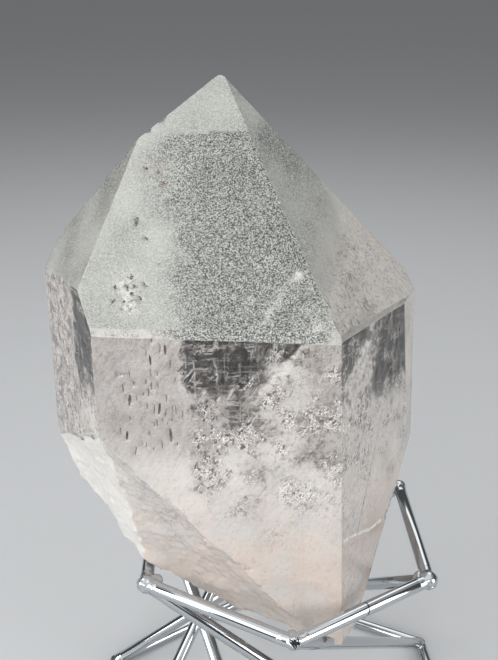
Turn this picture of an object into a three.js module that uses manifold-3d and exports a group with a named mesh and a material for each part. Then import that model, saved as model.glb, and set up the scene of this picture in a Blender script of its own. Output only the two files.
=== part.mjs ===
// A quartz crystal with a broken lower end, resting in a stand of welded rods.
// Millimetres, +Z up. The stand lies on the plane z = 0, and the whole object's box is centred on the origin.
import * as THREE from 'three';
import { mergeVertices } from 'three/addons/utils/BufferGeometryUtils.js';
import Module from 'manifold-3d';

const wasm = await Module();
wasm.setup();

// Stand, driving dimensions
const ROD_DIAMETER = 3;
const RING_RADIUS = 36.2; // centre of the upper hexagon to its corners, on the rods' centre lines
const BASE_RADIUS = 52.8; // the same on the lower hexagon
const RING_HEIGHT = 65.5; // centre line of the upper hexagon above the table
const RING_TURN = 1.2; // degrees that the upper hexagon is turned about the vertical
const BASE_TURN = 4.4; // degrees that the lower hexagon is turned
const CORNERS = 6;
const STRUT_STEP = 2; // a strut runs from a corner to the lower corner this many places further round
const ROD_SIDES = 12; // flat sides of a modelled rod
const WELD_GAP = 0.3; // left between two rods that are welded together
const STRUT_SETBACK = 2; // the strut's end stands this far along from the corner

// Crystal, driving dimensions
const HEART = new THREE.Vector3(-10, 5, 115); // the point that its faces are measured from
const LEAN_BACK = 5.2; // degrees that the long axis leans away from the front
const LEAN_LEFT = 0.9;
const CRYSTAL_TURN = -0.5;
const FRONT = -90; // azimuth of the front prism face, in degrees from +X
const POINT_RISE = 38.2; // how far the normal of a face of the point rises from the prism's
const BLOCK = 400; // side of the blocks that cut the faces, larger than the crystal

// The six sides of the prism, round from the front. turn is the place round the long axis, side and point are
// the distances from the heart to the prism face and to the face of the point over it. A grown face strays by
// about a degree from its ideal direction: the stray pairs are azimuth and rise.
const SIDES = [
  { turn: 0, side: 25.3, sideStray: [-0.5, 0], point: 25.4, pointStray: [1, 0] },
  { turn: 60, side: 30.2, sideStray: [-0.5, 1], point: 28.3, pointStray: [1, 0.3] },
  { turn: 120, side: 39.4, sideStray: [0, 0], point: 37.7, pointStray: [0.5, 1.3] },
  { turn: 180, side: 27.5, sideStray: [0, 0], point: 44.4, pointStray: [0, 0] },
  { turn: 240, side: 35.6, sideStray: [0, 0.5], point: 41.8, pointStray: [0.5, 0.3] },
  { turn: 300, side: 37.2, sideStray: [0.5, 0.5], point: 39.7, pointStray: [1, -1.2] },
];

// Narrow extra face on the right, between the prism faces at 60 and 120 degrees
const EDGE_FACE = { azimuth: -26, rise: 1.5, distance: 31.8 };

// Flat breaks of the lower end. A negative rise faces down.
const BREAKS = [
  { azimuth: -143.5, rise: -16.5, distance: 39.7 }, // pale chip on the lower left
  { azimuth: -111.5, rise: -18, distance: 35.9 }, // large break low on the front
  { azimuth: 165.5, rise: -8.5, distance: 43.3 }, // upper left of the broken end
  { azimuth: 172.5, rise: -61, distance: 52 }, // lower left, over the stand's left bar
  { azimuth: 164.5, rise: -57.5, distance: 51 }, // underside, left half
  { azimuth: 121, rise: -77.5, distance: 54.4 }, // underside, right half
  { azimuth: -6.5, rise: -18.5, distance: 46.1 }, // right, below the narrow face
  { azimuth: -15, rise: -13, distance: 42.3 }, // lower right, down to the tip
  { azimuth: 64.5, rise: -38, distance: 54.9 }, // back right, over the stand's rear bar
  { azimuth: 120.5, rise: -31, distance: 44.1 }, // back left
];

// A chipped groove in the underside lets the crystal sit over the strut that starts at the front corner
const GROOVE_WIDTH = 5;
const GROOVE_CLEARANCE = 0.35; // between the strut and the groove's roof
const GROOVE_DEPTH = 12;
const GROOVE_LENGTH = 60;

const SAME_POINT = 1e-5; // corners closer than this are one corner

const chrome = { color: 0xc9ced2, roughness: 0.12, metalness: 1, flatShading: true };
const quartz = { color: 0xcfc8c2, roughness: 0.35, metalness: 0, flatShading: true };

// A closed geometry as a solid that can be joined or cut
function solidOf(geometry) {
  const bare = geometry.clone();
  bare.deleteAttribute('normal');
  bare.deleteAttribute('uv');
  const merged = mergeVertices(bare, SAME_POINT);
  const vertProperties = new Float32Array(merged.attributes.position.array);
  const triVerts = new Uint32Array(merged.index.array);
  return new wasm.Manifold(new wasm.Mesh({ numProp: 3, vertProperties, triVerts }));
}

function geometryOf(solid) {
  const mesh = solid.getMesh();
  const geometry = new THREE.BufferGeometry();
  geometry.setAttribute('position', new THREE.BufferAttribute(mesh.vertProperties, 3));
  geometry.setIndex(new THREE.BufferAttribute(mesh.triVerts, 1));
  geometry.computeVertexNormals();
  return geometry;
}

function namedMesh(name, geometry, look) {
  const mesh = new THREE.Mesh(geometry, new THREE.MeshStandardMaterial(look));
  mesh.name = name;
  return mesh;
}

// Unit vector with an azimuth from +X and a rise above the horizontal, both in degrees
function direction(azimuth, rise) {
  const inclination = THREE.MathUtils.degToRad(90 - rise);
  const around = THREE.MathUtils.degToRad(azimuth);
  const sine = Math.sin(inclination);
  return new THREE.Vector3(sine * Math.cos(around), sine * Math.sin(around), Math.cos(inclination));
}

// Everything on the outer side of a plane, as a large block that rests on it
function blockBeyond(normal, distance) {
  const block = new THREE.BoxGeometry(BLOCK, BLOCK, BLOCK);
  block.translate(0, 0, BLOCK / 2);
  const turn = new THREE.Quaternion().setFromUnitVectors(new THREE.Vector3(0, 0, 1), normal);
  block.applyQuaternion(turn);
  block.translate(normal.x * distance, normal.y * distance, normal.z * distance);
  return solidOf(block);
}

function cutFace(solid, azimuth, rise, distance) {
  return solid.subtract(blockBeyond(direction(azimuth, rise), distance));
}

// Stand corners, counted round from the front
function corner(index, radius, turn, height) {
  const around = FRONT + turn + (360 / CORNERS) * index;
  return direction(around, 0).multiplyScalar(radius).setZ(height);
}

const ringCorner = (index) => corner(index, RING_RADIUS, RING_TURN, RING_HEIGHT);
const baseCorner = (index) => corner(index, BASE_RADIUS, BASE_TURN, ROD_DIAMETER / 2);

// A rod from start to end. Its flat sides touch the real round rod from outside, and one of them faces down.
function rodGeometry(start, end, diameter) {
  const along = end.clone().sub(start);
  const length = along.length();
  const cornerRadius = diameter / 2 / Math.cos(Math.PI / ROD_SIDES);
  const rod = new THREE.CylinderGeometry(cornerRadius, cornerRadius, length, ROD_SIDES);
  rod.rotateY(Math.PI / ROD_SIDES);
  const forward = along.normalize();
  const side = new THREE.Vector3(0, 0, 1).cross(forward).normalize();
  const up = forward.clone().cross(side);
  rod.applyMatrix4(new THREE.Matrix4().makeBasis(side, forward, up.negate()));
  const middle = start.clone().lerp(end, 0.5);
  rod.translate(middle.x, middle.y, middle.z);
  return rod;
}

// One straight bar of a hexagon, its ends cut on the mitre with half of the weld gap each
function ringBar(first, second) {
  const along = second.clone().sub(first).normalize();
  const start = first.clone().addScaledVector(along, -ROD_DIAMETER);
  const end = second.clone().addScaledVector(along, ROD_DIAMETER);
  let bar = solidOf(rodGeometry(start, end, ROD_DIAMETER));
  for (const [point, sense] of [[first, 1], [second, -1]]) {
    const radial = new THREE.Vector3(point.x, point.y, 0).normalize();
    const mitreNormal = new THREE.Vector3(0, 0, 1).cross(radial).multiplyScalar(-sense);
    const distance = mitreNormal.dot(point) - WELD_GAP / 2;
    bar = bar.subtract(blockBeyond(mitreNormal, distance));
  }
  return bar;
}

// A strut, its ends hollowed to fit the bars that it is welded to
function strut(index) {
  const top = ringCorner(index);
  const foot = baseCorner(index + STRUT_STEP);
  const along = foot.clone().sub(top).normalize();
  const start = top.clone().addScaledVector(along, STRUT_SETBACK);
  const end = foot.clone().addScaledVector(along, -STRUT_SETBACK);
  let rod = solidOf(rodGeometry(start, end, ROD_DIAMETER));
  const fat = ROD_DIAMETER + 2 * WELD_GAP;
  for (const [place, at] of [[ringCorner, index], [baseCorner, index + STRUT_STEP]]) {
    for (const step of [-1, 1]) {
      const outward = place(at).clone().sub(place(at + step)).normalize().multiplyScalar(ROD_DIAMETER);
      const past = place(at).clone().add(outward);
      rod = rod.subtract(solidOf(rodGeometry(past, place(at + step), fat)));
    }
  }
  return rod;
}

// The grown faces and the breaks, cut in the crystal's own frame, then leaned into place
function crystalSolid() {
  let solid = solidOf(new THREE.BoxGeometry(BLOCK / 2, BLOCK / 2, BLOCK / 2));
  for (const face of SIDES) {
    const azimuth = FRONT + face.turn;
    solid = cutFace(solid, azimuth + face.sideStray[0], face.sideStray[1], face.side);
    solid = cutFace(solid, azimuth + face.pointStray[0], POINT_RISE + face.pointStray[1], face.point);
  }
  for (const face of [EDGE_FACE, ...BREAKS]) {
    solid = cutFace(solid, face.azimuth, face.rise, face.distance);
  }
  const lean = new THREE.Euler(
    THREE.MathUtils.degToRad(-LEAN_BACK),
    THREE.MathUtils.degToRad(-LEAN_LEFT),
    THREE.MathUtils.degToRad(CRYSTAL_TURN),
    'YXZ',
  );
  const place = new THREE.Matrix4().makeRotationFromEuler(lean).setPosition(HEART);
  const leaned = solidOf(geometryOf(solid).applyMatrix4(place));
  return leaned.subtract(grooveBlock());
}

// The block that chips out the groove: its roof lies just above the front strut, and it is open below
function grooveBlock() {
  const top = ringCorner(0);
  const along = baseCorner(STRUT_STEP).sub(top).normalize();
  const side = new THREE.Vector3(0, 0, 1).cross(along).normalize();
  const up = along.clone().cross(side);
  const block = new THREE.BoxGeometry(GROOVE_LENGTH, GROOVE_WIDTH, GROOVE_DEPTH);
  block.translate(0, 0, ROD_DIAMETER / 2 + GROOVE_CLEARANCE - GROOVE_DEPTH / 2);
  block.applyMatrix4(new THREE.Matrix4().makeBasis(along, side, up));
  block.translate(top.x, top.y, top.z);
  return solidOf(block);
}

const object = new THREE.Group();
object.add(namedMesh('crystal', geometryOf(crystalSolid()), quartz));
for (let index = 0; index < CORNERS; index += 1) {
  const number = index + 1;
  const upper = ringBar(ringCorner(index), ringCorner(index + 1));
  const lower = ringBar(baseCorner(index), baseCorner(index + 1));
  object.add(namedMesh(`upper_ring_bar_${number}`, geometryOf(upper), chrome));
  object.add(namedMesh(`strut_${number}`, geometryOf(strut(index)), chrome));
  object.add(namedMesh(`base_ring_bar_${number}`, geometryOf(lower), chrome));
}

// The stand lies on the table, and the middle of the object's box is over the origin
const box = new THREE.Box3().setFromObject(object, true);
const middle = box.getCenter(new THREE.Vector3());
object.position.set(-middle.x, -middle.y, -box.min.z);

export default object;
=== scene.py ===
# %% [markdown]
# # A quartz crystal on its welded rod stand
#
# The object is a grown quartz crystal with a frosted six-faced point, glassy sides and a broken lower end. It
# rests in a small stand of plated rods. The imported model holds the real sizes, and this script dresses it.
# Each step says what the thing is on the real object, how it could be made in Blender, and why it is made
# this way.

# %% Load the fixed frame
import math
import random

import bpy
import numpy as np
from mathutils import Matrix, Vector, noise


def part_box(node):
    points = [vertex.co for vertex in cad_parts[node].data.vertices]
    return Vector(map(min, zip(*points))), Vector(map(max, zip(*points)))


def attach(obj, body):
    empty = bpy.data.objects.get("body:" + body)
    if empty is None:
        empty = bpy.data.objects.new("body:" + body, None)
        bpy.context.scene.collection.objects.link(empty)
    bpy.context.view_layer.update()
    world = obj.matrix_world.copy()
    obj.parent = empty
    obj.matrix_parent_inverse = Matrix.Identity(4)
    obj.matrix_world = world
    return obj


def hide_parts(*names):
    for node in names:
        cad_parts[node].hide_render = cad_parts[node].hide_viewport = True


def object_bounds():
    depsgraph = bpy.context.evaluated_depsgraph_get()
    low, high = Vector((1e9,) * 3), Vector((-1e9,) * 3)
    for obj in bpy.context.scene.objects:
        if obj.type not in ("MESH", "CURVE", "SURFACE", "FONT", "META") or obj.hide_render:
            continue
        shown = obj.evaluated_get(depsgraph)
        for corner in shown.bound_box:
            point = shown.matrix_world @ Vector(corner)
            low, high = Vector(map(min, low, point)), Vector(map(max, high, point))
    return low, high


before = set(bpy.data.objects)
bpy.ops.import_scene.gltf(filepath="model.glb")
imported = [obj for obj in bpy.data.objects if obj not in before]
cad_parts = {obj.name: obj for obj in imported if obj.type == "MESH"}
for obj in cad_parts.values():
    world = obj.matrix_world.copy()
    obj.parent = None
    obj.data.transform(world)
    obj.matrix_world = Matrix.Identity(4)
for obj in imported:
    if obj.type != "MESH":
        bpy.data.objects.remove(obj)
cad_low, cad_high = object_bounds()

MM = 0.001
SEED = 7
noise.seed_set(SEED)  # without a seed, noise_vector starts from the clock and every run breaks differently
print("frame holds", len(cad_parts), "nodes, box", [round(s / MM, 1) for s in cad_high - cad_low], "mm")

# %% [markdown]
# ## Small helpers
#
# A listed colour is an sRGB hex value, and the shaders want linear light, so one function turns one
# into the other. One more adds a shader node with its settings and its links. Operators in Blender act on
# everything that is selected, so choosing exactly one piece before each step is the habit that keeps such a
# script safe.


# %% Colour, node and selection helpers
def linear(hex_colour):
    """An sRGB hex colour such as '#c9c2bd' as linear red, green, blue and alpha."""
    parts = [int(hex_colour[i:i + 2], 16) / 255 for i in (1, 3, 5)]
    return tuple(p / 12.92 if p <= 0.04045 else ((p + 0.055) / 1.055) ** 2.4 for p in parts) + (1.0,)


def add(tree, kind, settings=None, inputs=None, output=0):
    """Add a shader node, set its properties, fill its inputs with values or links, and return one output."""
    node = tree.nodes.new(kind)
    for name, value in (settings or {}).items():
        setattr(node, name, value)
    for name, value in (inputs or {}).items():
        if isinstance(value, bpy.types.NodeSocket):
            tree.links.new(value, node.inputs[name])
        else:
            node.inputs[name].default_value = value
    return node.outputs[output]


def choose(*pieces):
    """Select these pieces and nothing else, with the first one active."""
    bpy.ops.object.select_all(action='DESELECT')
    for piece in pieces:
        piece.select_set(True)
    bpy.context.view_layer.objects.active = pieces[0]


def settle(piece):
    """Put a piece's place, turn and size into its mesh, so that its object sits at the origin."""
    choose(piece)
    bpy.ops.object.transform_apply(location=True, rotation=True, scale=True)


bpy.ops.object.select_all(action='DESELECT')
print("warm grey", [round(c, 3) for c in linear('#c9c2bd')])

# %% [markdown]
# ## The crystal's own axes
#
# The crystal leans back a little in its stand. Its faces are easiest to think of in its own axes: the long
# axis up, the front face forward, and the origin at its heart. The heart stands at a known place beside the
# stand's axis, so that place is worked out from the stand and not typed in.

# %% Axes of the stand and the crystal
base_boxes = [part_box(f"base_ring_bar_{number}") for number in range(1, 7)]
base_low = Vector([min(low[i] for low, high in base_boxes) for i in range(3)])
base_high = Vector([max(high[i] for low, high in base_boxes) for i in range(3)])
stand_axis = (base_low + base_high) / 2
stand_axis.z = 0

HEART_BESIDE_AXIS = Vector((-10, 5, 115)) * MM
LEAN_BACK = math.radians(5.2)
LEAN_LEFT = math.radians(0.9)
CRYSTAL_TURN = math.radians(-0.5)
heart = stand_axis + HEART_BESIDE_AXIS
lean = Matrix.Rotation(-LEAN_LEFT, 4, 'Y') @ Matrix.Rotation(-LEAN_BACK, 4, 'X')
lean = lean @ Matrix.Rotation(CRYSTAL_TURN, 4, 'Z')
crystal_axes = Matrix.Translation(heart) @ lean
to_crystal = lean.to_3x3().transposed()
lean_array = np.array(lean.to_3x3())
heart_array = np.array(heart)


def read(items, name, width, kind=float):
    """One property of many mesh items as an array."""
    values = np.empty(len(items) * width, dtype=kind)
    items.foreach_get(name, values)
    return values.reshape(-1, width) if width > 1 else values


def crystal_places(mesh):
    """The vertices of a mesh in the crystal's own axes, in millimetres from its heart."""
    return (read(mesh.vertices, "co", 3) - heart_array) @ lean_array / MM


def set_crystal_places(mesh, places):
    """Move the vertices of a mesh to these places in the crystal's own axes."""
    world = (places * MM) @ lean_array.T + heart_array
    mesh.vertices.foreach_set("co", world.ravel())
    mesh.update()


def direction(azimuth, rise):
    """Unit vector in the crystal's own axes, from an azimuth (the front is -90) and a rise in degrees."""
    around = math.radians(azimuth)
    up = math.radians(rise)
    return Vector((math.cos(up) * math.cos(around), math.cos(up) * math.sin(around), math.sin(up)))


print("stand axis", [round(c / MM, 3) for c in stand_axis], "heart", [round(c / MM, 2) for c in heart])

# %% [markdown]
# ## The crystal's solid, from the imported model
#
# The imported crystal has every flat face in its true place. Its mesh is loose triangles, so a copy is merged
# and its flat neighbours are dissolved into whole faces. Two narrow faces that a light catches along the
# front edges are then cut with bisect, a plane cut that also closes the hole. Drawing them by hand would
# leave them a hair off flat, and on a crystal the eye finds that at once.

# %% Copy the crystal and cut its narrow faces
SAME_POINT = 0.001 * MM
FLAT = math.radians(0.3)


def copy_node(node, name):
    """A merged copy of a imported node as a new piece, with whole flat faces."""
    piece = bpy.data.objects.new(name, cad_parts[node].data.copy())
    bpy.context.scene.collection.objects.link(piece)
    piece.data.materials.clear()
    choose(piece)
    bpy.ops.object.mode_set(mode='EDIT')
    bpy.ops.mesh.select_all(action='SELECT')
    bpy.ops.mesh.remove_doubles(threshold=SAME_POINT)
    bpy.ops.mesh.dissolve_limited(angle_limit=FLAT)
    bpy.ops.object.mode_set(mode='OBJECT')
    return piece


def face_towards(mesh, azimuth, rise):
    """The flat face whose normal is nearest to a direction in the crystal's own axes."""
    wanted = lean.to_3x3() @ direction(azimuth, rise)
    return max(mesh.polygons, key=lambda face: face.normal.dot(wanted))


def cut_off(piece, place, normal):
    """Cut away what lies beyond a plane, and close the cut."""
    choose(piece)
    bpy.ops.object.mode_set(mode='EDIT')
    bpy.ops.mesh.select_all(action='SELECT')
    bpy.ops.mesh.bisect(plane_co=place, plane_no=normal, use_fill=True, clear_outer=True)
    bpy.ops.object.mode_set(mode='OBJECT')


def cut_narrow_face(piece, first, second, left_width, right_width):
    """Replace the edge between two faces by a narrow face, whose width may differ at its two ends."""
    mesh = piece.data
    one = face_towards(mesh, *first)
    other = face_towards(mesh, *second)
    ends = [mesh.vertices[i].co.copy() for i in set(one.vertices) & set(other.vertices)]
    ends.sort(key=lambda end: end.x)
    outward = (one.normal + other.normal).normalized()
    half_angle = one.normal.angle(other.normal) / 2
    left = ends[0] - outward * left_width / 2 * math.tan(half_angle)
    right = ends[-1] - outward * right_width / 2 * math.tan(half_angle)
    across = outward.cross(ends[-1] - ends[0])
    normal = across.cross(right - left).normalized()
    if normal.dot(outward) < 0:
        normal.negate()
    cut_off(piece, left, normal)


FRONT = -90
POINT_RISE = 38.2
TIP_BLUNT = 0.45 * MM
TIP_RISE = 75
quartz = copy_node("crystal", "quartz_crystal")
cut_narrow_face(quartz, (FRONT, POINT_RISE), (FRONT, 0), 1.5 * MM, 2.6 * MM)
cut_narrow_face(quartz, (FRONT + 60, POINT_RISE), (FRONT + 60, 0), 1.5 * MM, 1.2 * MM)
tip = max((vertex.co.copy() for vertex in quartz.data.vertices), key=lambda place: place.z)
cut_off(quartz, tip - Vector((0, 0, TIP_BLUNT)), lean.to_3x3() @ direction(FRONT, TIP_RISE))
print("crystal has", len(quartz.data.polygons), "flat faces")

# %% [markdown]
# ## Grown faces and broken faces
#
# A grown face is dead flat, and a broken one is not, so the two are told apart first. In the crystal's own
# axes that is easy: the faces of the point rise by about 38 degrees, the prism's are upright, and every flat
# that looks down belongs to a break.

# %% Sort the flat faces
POINT_RISE_RANGE = (30, 50)
LOWEST_GROWN_RISE = -5
LOWEST_GROWN_TOP = 100 * MM
NARROW_RISE = 10
HOLLOW = 0.1  # millimetres that the crystal may reach beyond the plane of a face that isn't in a hollow


def sorted_planes(mesh):
    """Planes of the mesh's faces as (unit normal, distance, kind), in the crystal's own axes and millimetres.
    The walls of the small groove are left out, because parts of the crystal lie beyond their planes."""
    found = []
    corners_of_crystal = crystal_places(mesh)
    for face in mesh.polygons:
        normal = to_crystal @ face.normal
        rise = math.degrees(math.asin(max(-1, min(1, normal.z))))
        top = max(mesh.vertices[i].co.z for i in face.vertices)
        distance = normal.dot(to_crystal @ (face.center - heart)) / MM
        if (corners_of_crystal @ np.array(normal)).max() > distance + HOLLOW:
            continue
        if rise < LOWEST_GROWN_RISE or top < LOWEST_GROWN_TOP:
            kind = "break"
        elif POINT_RISE_RANGE[0] < rise < POINT_RISE_RANGE[1]:
            kind = "point"
        elif rise > POINT_RISE_RANGE[1]:
            kind = "tip"
        elif rise > NARROW_RISE:
            kind = "narrow"
        else:
            kind = "side"
        found.append((np.array(normal), distance, kind))
    return found


planes = sorted_planes(quartz.data)
grown_normals = np.array([normal for normal, distance, kind in planes if kind != "break"])
grown_distances = np.array([distance for normal, distance, kind in planes if kind != "break"])
break_normals = np.array([normal for normal, distance, kind in planes if kind == "break"])
break_distances = np.array([distance for normal, distance, kind in planes if kind == "break"])
print("grown faces", len(grown_distances), "broken faces", len(break_distances))

# %% [markdown]
# ## The stand's corners
#
# Two hexagons of rod, joined by six struts that each run two corners further round. The crystal's broken end
# touches three of the rods, so their centre lines are needed before the break is roughened.

# %% Corners and rods of the stand
ROD_RADIUS = 1.5 * MM
RING_RADIUS = 36.2 * MM
BASE_RADIUS = 52.8 * MM
RING_HEIGHT = 65.5 * MM
RING_TURN = 1.2  # degrees round from the front
BASE_TURN = 4.4
CORNERS = 6
STRUT_STEP = 2


def corner(index, radius, turn, height):
    """A corner of one of the stand's hexagons, counted round from the front."""
    around = math.radians(FRONT + turn + 360 / CORNERS * index)
    return stand_axis + Vector((radius * math.cos(around), radius * math.sin(around), height))


ring_corners = [corner(i, RING_RADIUS, RING_TURN, RING_HEIGHT) for i in range(CORNERS)]
base_corners = [corner(i, BASE_RADIUS, BASE_TURN, ROD_RADIUS) for i in range(CORNERS)]
rods = {}
for i in range(CORNERS):
    rods[f"upper_ring_bar_{i + 1}"] = (ring_corners[i], ring_corners[(i + 1) % CORNERS])
    rods[f"strut_{i + 1}"] = (ring_corners[i], base_corners[(i + STRUT_STEP) % CORNERS])
    rods[f"base_ring_bar_{i + 1}"] = (base_corners[i], base_corners[(i + 1) % CORNERS])
print("rods", len(rods), "first upper corner", [round(c / MM, 1) for c in ring_corners[0]])

# %% [markdown]
# ## The broken end
#
# Quartz has no cleavage. It breaks like glass, in shallow shells that meet in sharp ridges, with faint
# ripples round the place where the break began. Sculpting could make that, but not the same way twice.
# Displacing the whole crystal would bend the grown faces. So a copy is remeshed finely, pushed in by a shell
# pattern where the crystal is broken and pushed out a little where it has grown, and the two are intersected:
# the grown faces stay dead flat, and the break cuts into them in a ragged line, as on the real piece.

# %% Shells of the break
VOXEL = 0.62 * MM
SHELL_SIZE = 9  # millimetres across a shell
SHELL_DEPTH = 1.1
SMALL_SHELL_SIZE = 2.9
SMALL_SHELL_DEPTH = 0.38
TOOTH_SIZE = 1.3
TOOTH_DEPTH = 0.3
RIPPLE_SPACING = 1.6
RIPPLE_DEPTH = 0.06
RIPPLE_CENTRE = Vector((-34, -20, -22))
PROUD_OF_GROWN = 1.2  # how far the copy stands proud of the grown faces
UNDER_BREAK = 0.12
RAGGED = ((0.9, 5), (0.35, 1.7))  # amount and size of the raggedness where break and grown face meet
FULL_DEPTH_FROM = 2.5  # millimetres into the break
WANDER_SIZE = 7  # the ridges wander by up to WANDER over this distance
WANDER = 2.2
PATCH_SIZE = 9  # across the patches where small shells come and go
RIPPLE_BEND_SIZE = 8
RIPPLE_PATCH_SIZE = 12
TOUCH_NEAR = 2.3  # millimetres from a rod's centre line inside which the break stays where it is
TOUCH_FAR = 6.0


def smooth(low, high, values):
    """0 below low, 1 above high, and a soft step between."""
    share = np.clip((values - low) / (high - low), 0, 1)
    return share * share * (3 - 2 * share)


def bowls(place, size):
    """0 on the ridges between shells to 1 at a shell's deepest place."""
    nearest = noise.voronoi(place / size)[0][0]
    return max(0.0, 1 - nearest * nearest)


def shell_relief(place):
    """Depth of the break below its flat, in millimetres, at a place in the crystal's own axes."""
    wander = noise.noise_vector(place / WANDER_SIZE) * WANDER
    depth = SHELL_DEPTH * bowls(place + wander, SHELL_SIZE)
    uneven = max(0.1, 0.55 + noise.noise(place / PATCH_SIZE))
    depth += SMALL_SHELL_DEPTH * bowls(place + wander / 3, SMALL_SHELL_SIZE) * uneven
    depth += TOOTH_DEPTH * noise.noise(place / TOOTH_SIZE)
    rounds = (place - RIPPLE_CENTRE).length / RIPPLE_SPACING + noise.noise(place / RIPPLE_BEND_SIZE)
    rippled = max(0.0, 0.6 + noise.noise(place / RIPPLE_PATCH_SIZE))
    depth += RIPPLE_DEPTH * math.sin(2 * math.pi * rounds) * rippled
    return max(0.02, depth)


def distance_to_rods(places):
    """Millimetres from each place to the nearest rod's centre line."""
    nearest = np.full(len(places), 1e3)
    for start, end in rods.values():
        a = np.array(to_crystal @ (start - heart)) / MM
        b = np.array(to_crystal @ (end - heart)) / MM
        along = np.clip((places - a) @ (b - a) / ((b - a) @ (b - a)), 0, 1)
        nearest = np.minimum(nearest, np.linalg.norm(places - a - along[:, None] * (b - a), axis=1))
    return nearest


def apply_modifier(piece, kind, **settings):
    """Add a modifier with these settings and apply it."""
    choose(piece)
    modifier = piece.modifiers.new(kind.lower(), kind)
    for name, value in settings.items():
        setattr(modifier, name, value)
    bpy.ops.object.modifier_apply(modifier=modifier.name)


rough = bpy.data.objects.new("rough_break", quartz.data.copy())
bpy.context.scene.collection.objects.link(rough)
apply_modifier(rough, 'REMESH', mode='VOXEL', voxel_size=VOXEL)
places = crystal_places(rough.data)
beyond_grown = (places @ grown_normals.T - grown_distances).max(axis=1)
beyond_break = (places @ break_normals.T - break_distances).max(axis=1)
normals = read(rough.data.vertices, "normal", 3) @ lean_array
ragged = np.array([sum(amount * noise.noise(Vector(p) / size) for amount, size in RAGGED) for p in places])
into_break = beyond_break - beyond_grown + ragged
relief = np.array([shell_relief(Vector(p)) for p in places])
relief *= smooth(TOUCH_NEAR, TOUCH_FAR, distance_to_rods(places))
deepening = smooth(0, FULL_DEPTH_FROM, into_break)
push = np.where(into_break < 0, PROUD_OF_GROWN, -UNDER_BREAK) - deepening * relief
set_crystal_places(rough.data, places + normals * push[:, None])
print("rough copy", len(places), "vertices, deepest", round(float(relief.max()), 2), "mm")

# %% Soften the grown edges, then intersect
EDGE_SOFTNESS = 0.16 * MM
EDGE_ANGLE = math.radians(8)
apply_modifier(
    quartz, 'BEVEL', width=EDGE_SOFTNESS, segments=2, limit_method='ANGLE', angle_limit=EDGE_ANGLE)
apply_modifier(quartz, 'BOOLEAN', operation='INTERSECT', solver='MANIFOLD', object=rough)
bpy.data.objects.remove(rough)
print("crystal now", len(quartz.data.polygons), "faces")

# %% [markdown]
# ## Nicks, pits and a low crack
#
# Etching leaves small pits on a crystal's faces, and knocks leave nicks along its edges. Painted dots would
# look flat as soon as light grazes them. So a small pointed cutter is set at each place, with its own size
# and slant, and blunt ones run end to end along a low crack. All of them are joined and taken out of the
# crystal in a single boolean. It wants cutters that don't touch each other, so a pit that would touch an
# earlier one is left out.

# %% Places on the grown faces
# the faces of the point are P0 to P300 and those of the prism Q0 to Q300, in degrees round from the front
PLANE_AT = {}
for around in range(0, 360, 60):
    for rise, letter in ((POINT_RISE, "P"), (0, "Q")):
        wanted = np.array(direction(FRONT + around, rise))
        normal, distance, kind = max(planes, key=lambda plane: plane[0] @ wanted)
        PLANE_AT[f"{letter}{around}"] = (Vector(normal), distance)


def on_face(face, x, z):
    """The place on a grown face, in the crystal's own axes, that has this x and this height."""
    normal, distance = PLANE_AT[face]
    return Vector((x, (distance - normal.x * x - normal.z * z) / normal.y, z))


print("faces to cut", list(PLANE_AT))


# %% One cutter, and a pit made with it
def cutter(face, x, z, wide, tall, deep, slant=0.0, blunt=False):
    """A pointed lens or a blunt wedge half sunk in a face, sized in millimetres, its slant in degrees."""
    normal = PLANE_AT[face][0]
    up = (Vector((0, 0, 1)) - normal * normal.z).normalized()
    up.rotate(Matrix.Rotation(math.radians(slant), 3, normal))
    across = up.cross(normal)
    turn = Matrix((across * wide / 2, up * tall / 2, normal * deep)).transposed().to_4x4()
    place = Matrix.Translation(on_face(face, x, z)) @ turn
    if blunt:
        bpy.ops.mesh.primitive_cylinder_add(vertices=4, radius=MM, depth=2 * MM)
        bpy.context.active_object.data.transform(Matrix.Rotation(math.radians(90), 4, 'X'))
    else:
        bpy.ops.mesh.primitive_ico_sphere_add(subdivisions=1, radius=MM)
    piece = bpy.context.active_object
    piece.data.transform(Matrix.Diagonal((1 / MM, 1 / MM, 1 / MM, 1)))
    piece.data.transform(crystal_axes @ Matrix.Diagonal((MM, MM, MM, 1)) @ place)
    piece.data.update()
    return piece


PIT_GAP = 0.1
draw = random.Random(7)
cutters = []
taken = []


def pit(face, x, z, wide, tall, deep, slant=0.0):
    """Add a pit, unless it would touch one that is already there."""
    turn = math.radians(abs(slant))
    across = wide * math.cos(turn) + tall * math.sin(turn) + PIT_GAP
    upward = tall * math.cos(turn) + wide * math.sin(turn) + PIT_GAP
    for other_face, other_x, other_z, other_across, other_upward in taken:
        near_x = abs(x - other_x) < (across + other_across) / 2
        near_z = abs(z - other_z) < (upward + other_upward) / 2
        if other_face == face and near_x and near_z:
            return
    taken.append((face, x, z, across, upward))
    cutters.append(cutter(face, x, z, wide, tall, deep, slant))


# %% Marks, a cluster and knocks on the front face of the point
POINT_MARKS = [  # x, height, slant and length
    (-18.8, 38.0, 40, 1.6), (-17.4, 36.6, -55, 1.5), (-15.2, 35.2, 65, 1.6), (-16.2, 37.2, 10, 1.0),
    (-20.3, 28.4, -6, 2.6), (-18.2, 25.4, 40, 1.2), (-19.2, 26.6, -50, 1.1), (-12.1, 31.8, 30, 0.9),
    (-11.2, 31.0, -60, 1.2), (-5.5, 42.6, 80, 1.6), (17.5, 13.4, 70, 1.0), (6.5, 12.2, 30, 0.9),
]
CLUSTER = (-21.2, 16.2)
CLUSTER_SPREAD = (1.5, 1.9)
CLUSTER_PITS = 26
EDGE_KNOCKS = [  # x, height, length
    (-12.6, 49.8, 3.4), (-15.8, 47.0, 2.6), (-8.2, 53.0, 1.8), (-18.6, 44.9, 1.6)]
KNOCK_ACROSS = 1.0
KNOCK_DEPTH = 0.55
KNOCK_SLANT = 40
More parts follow.
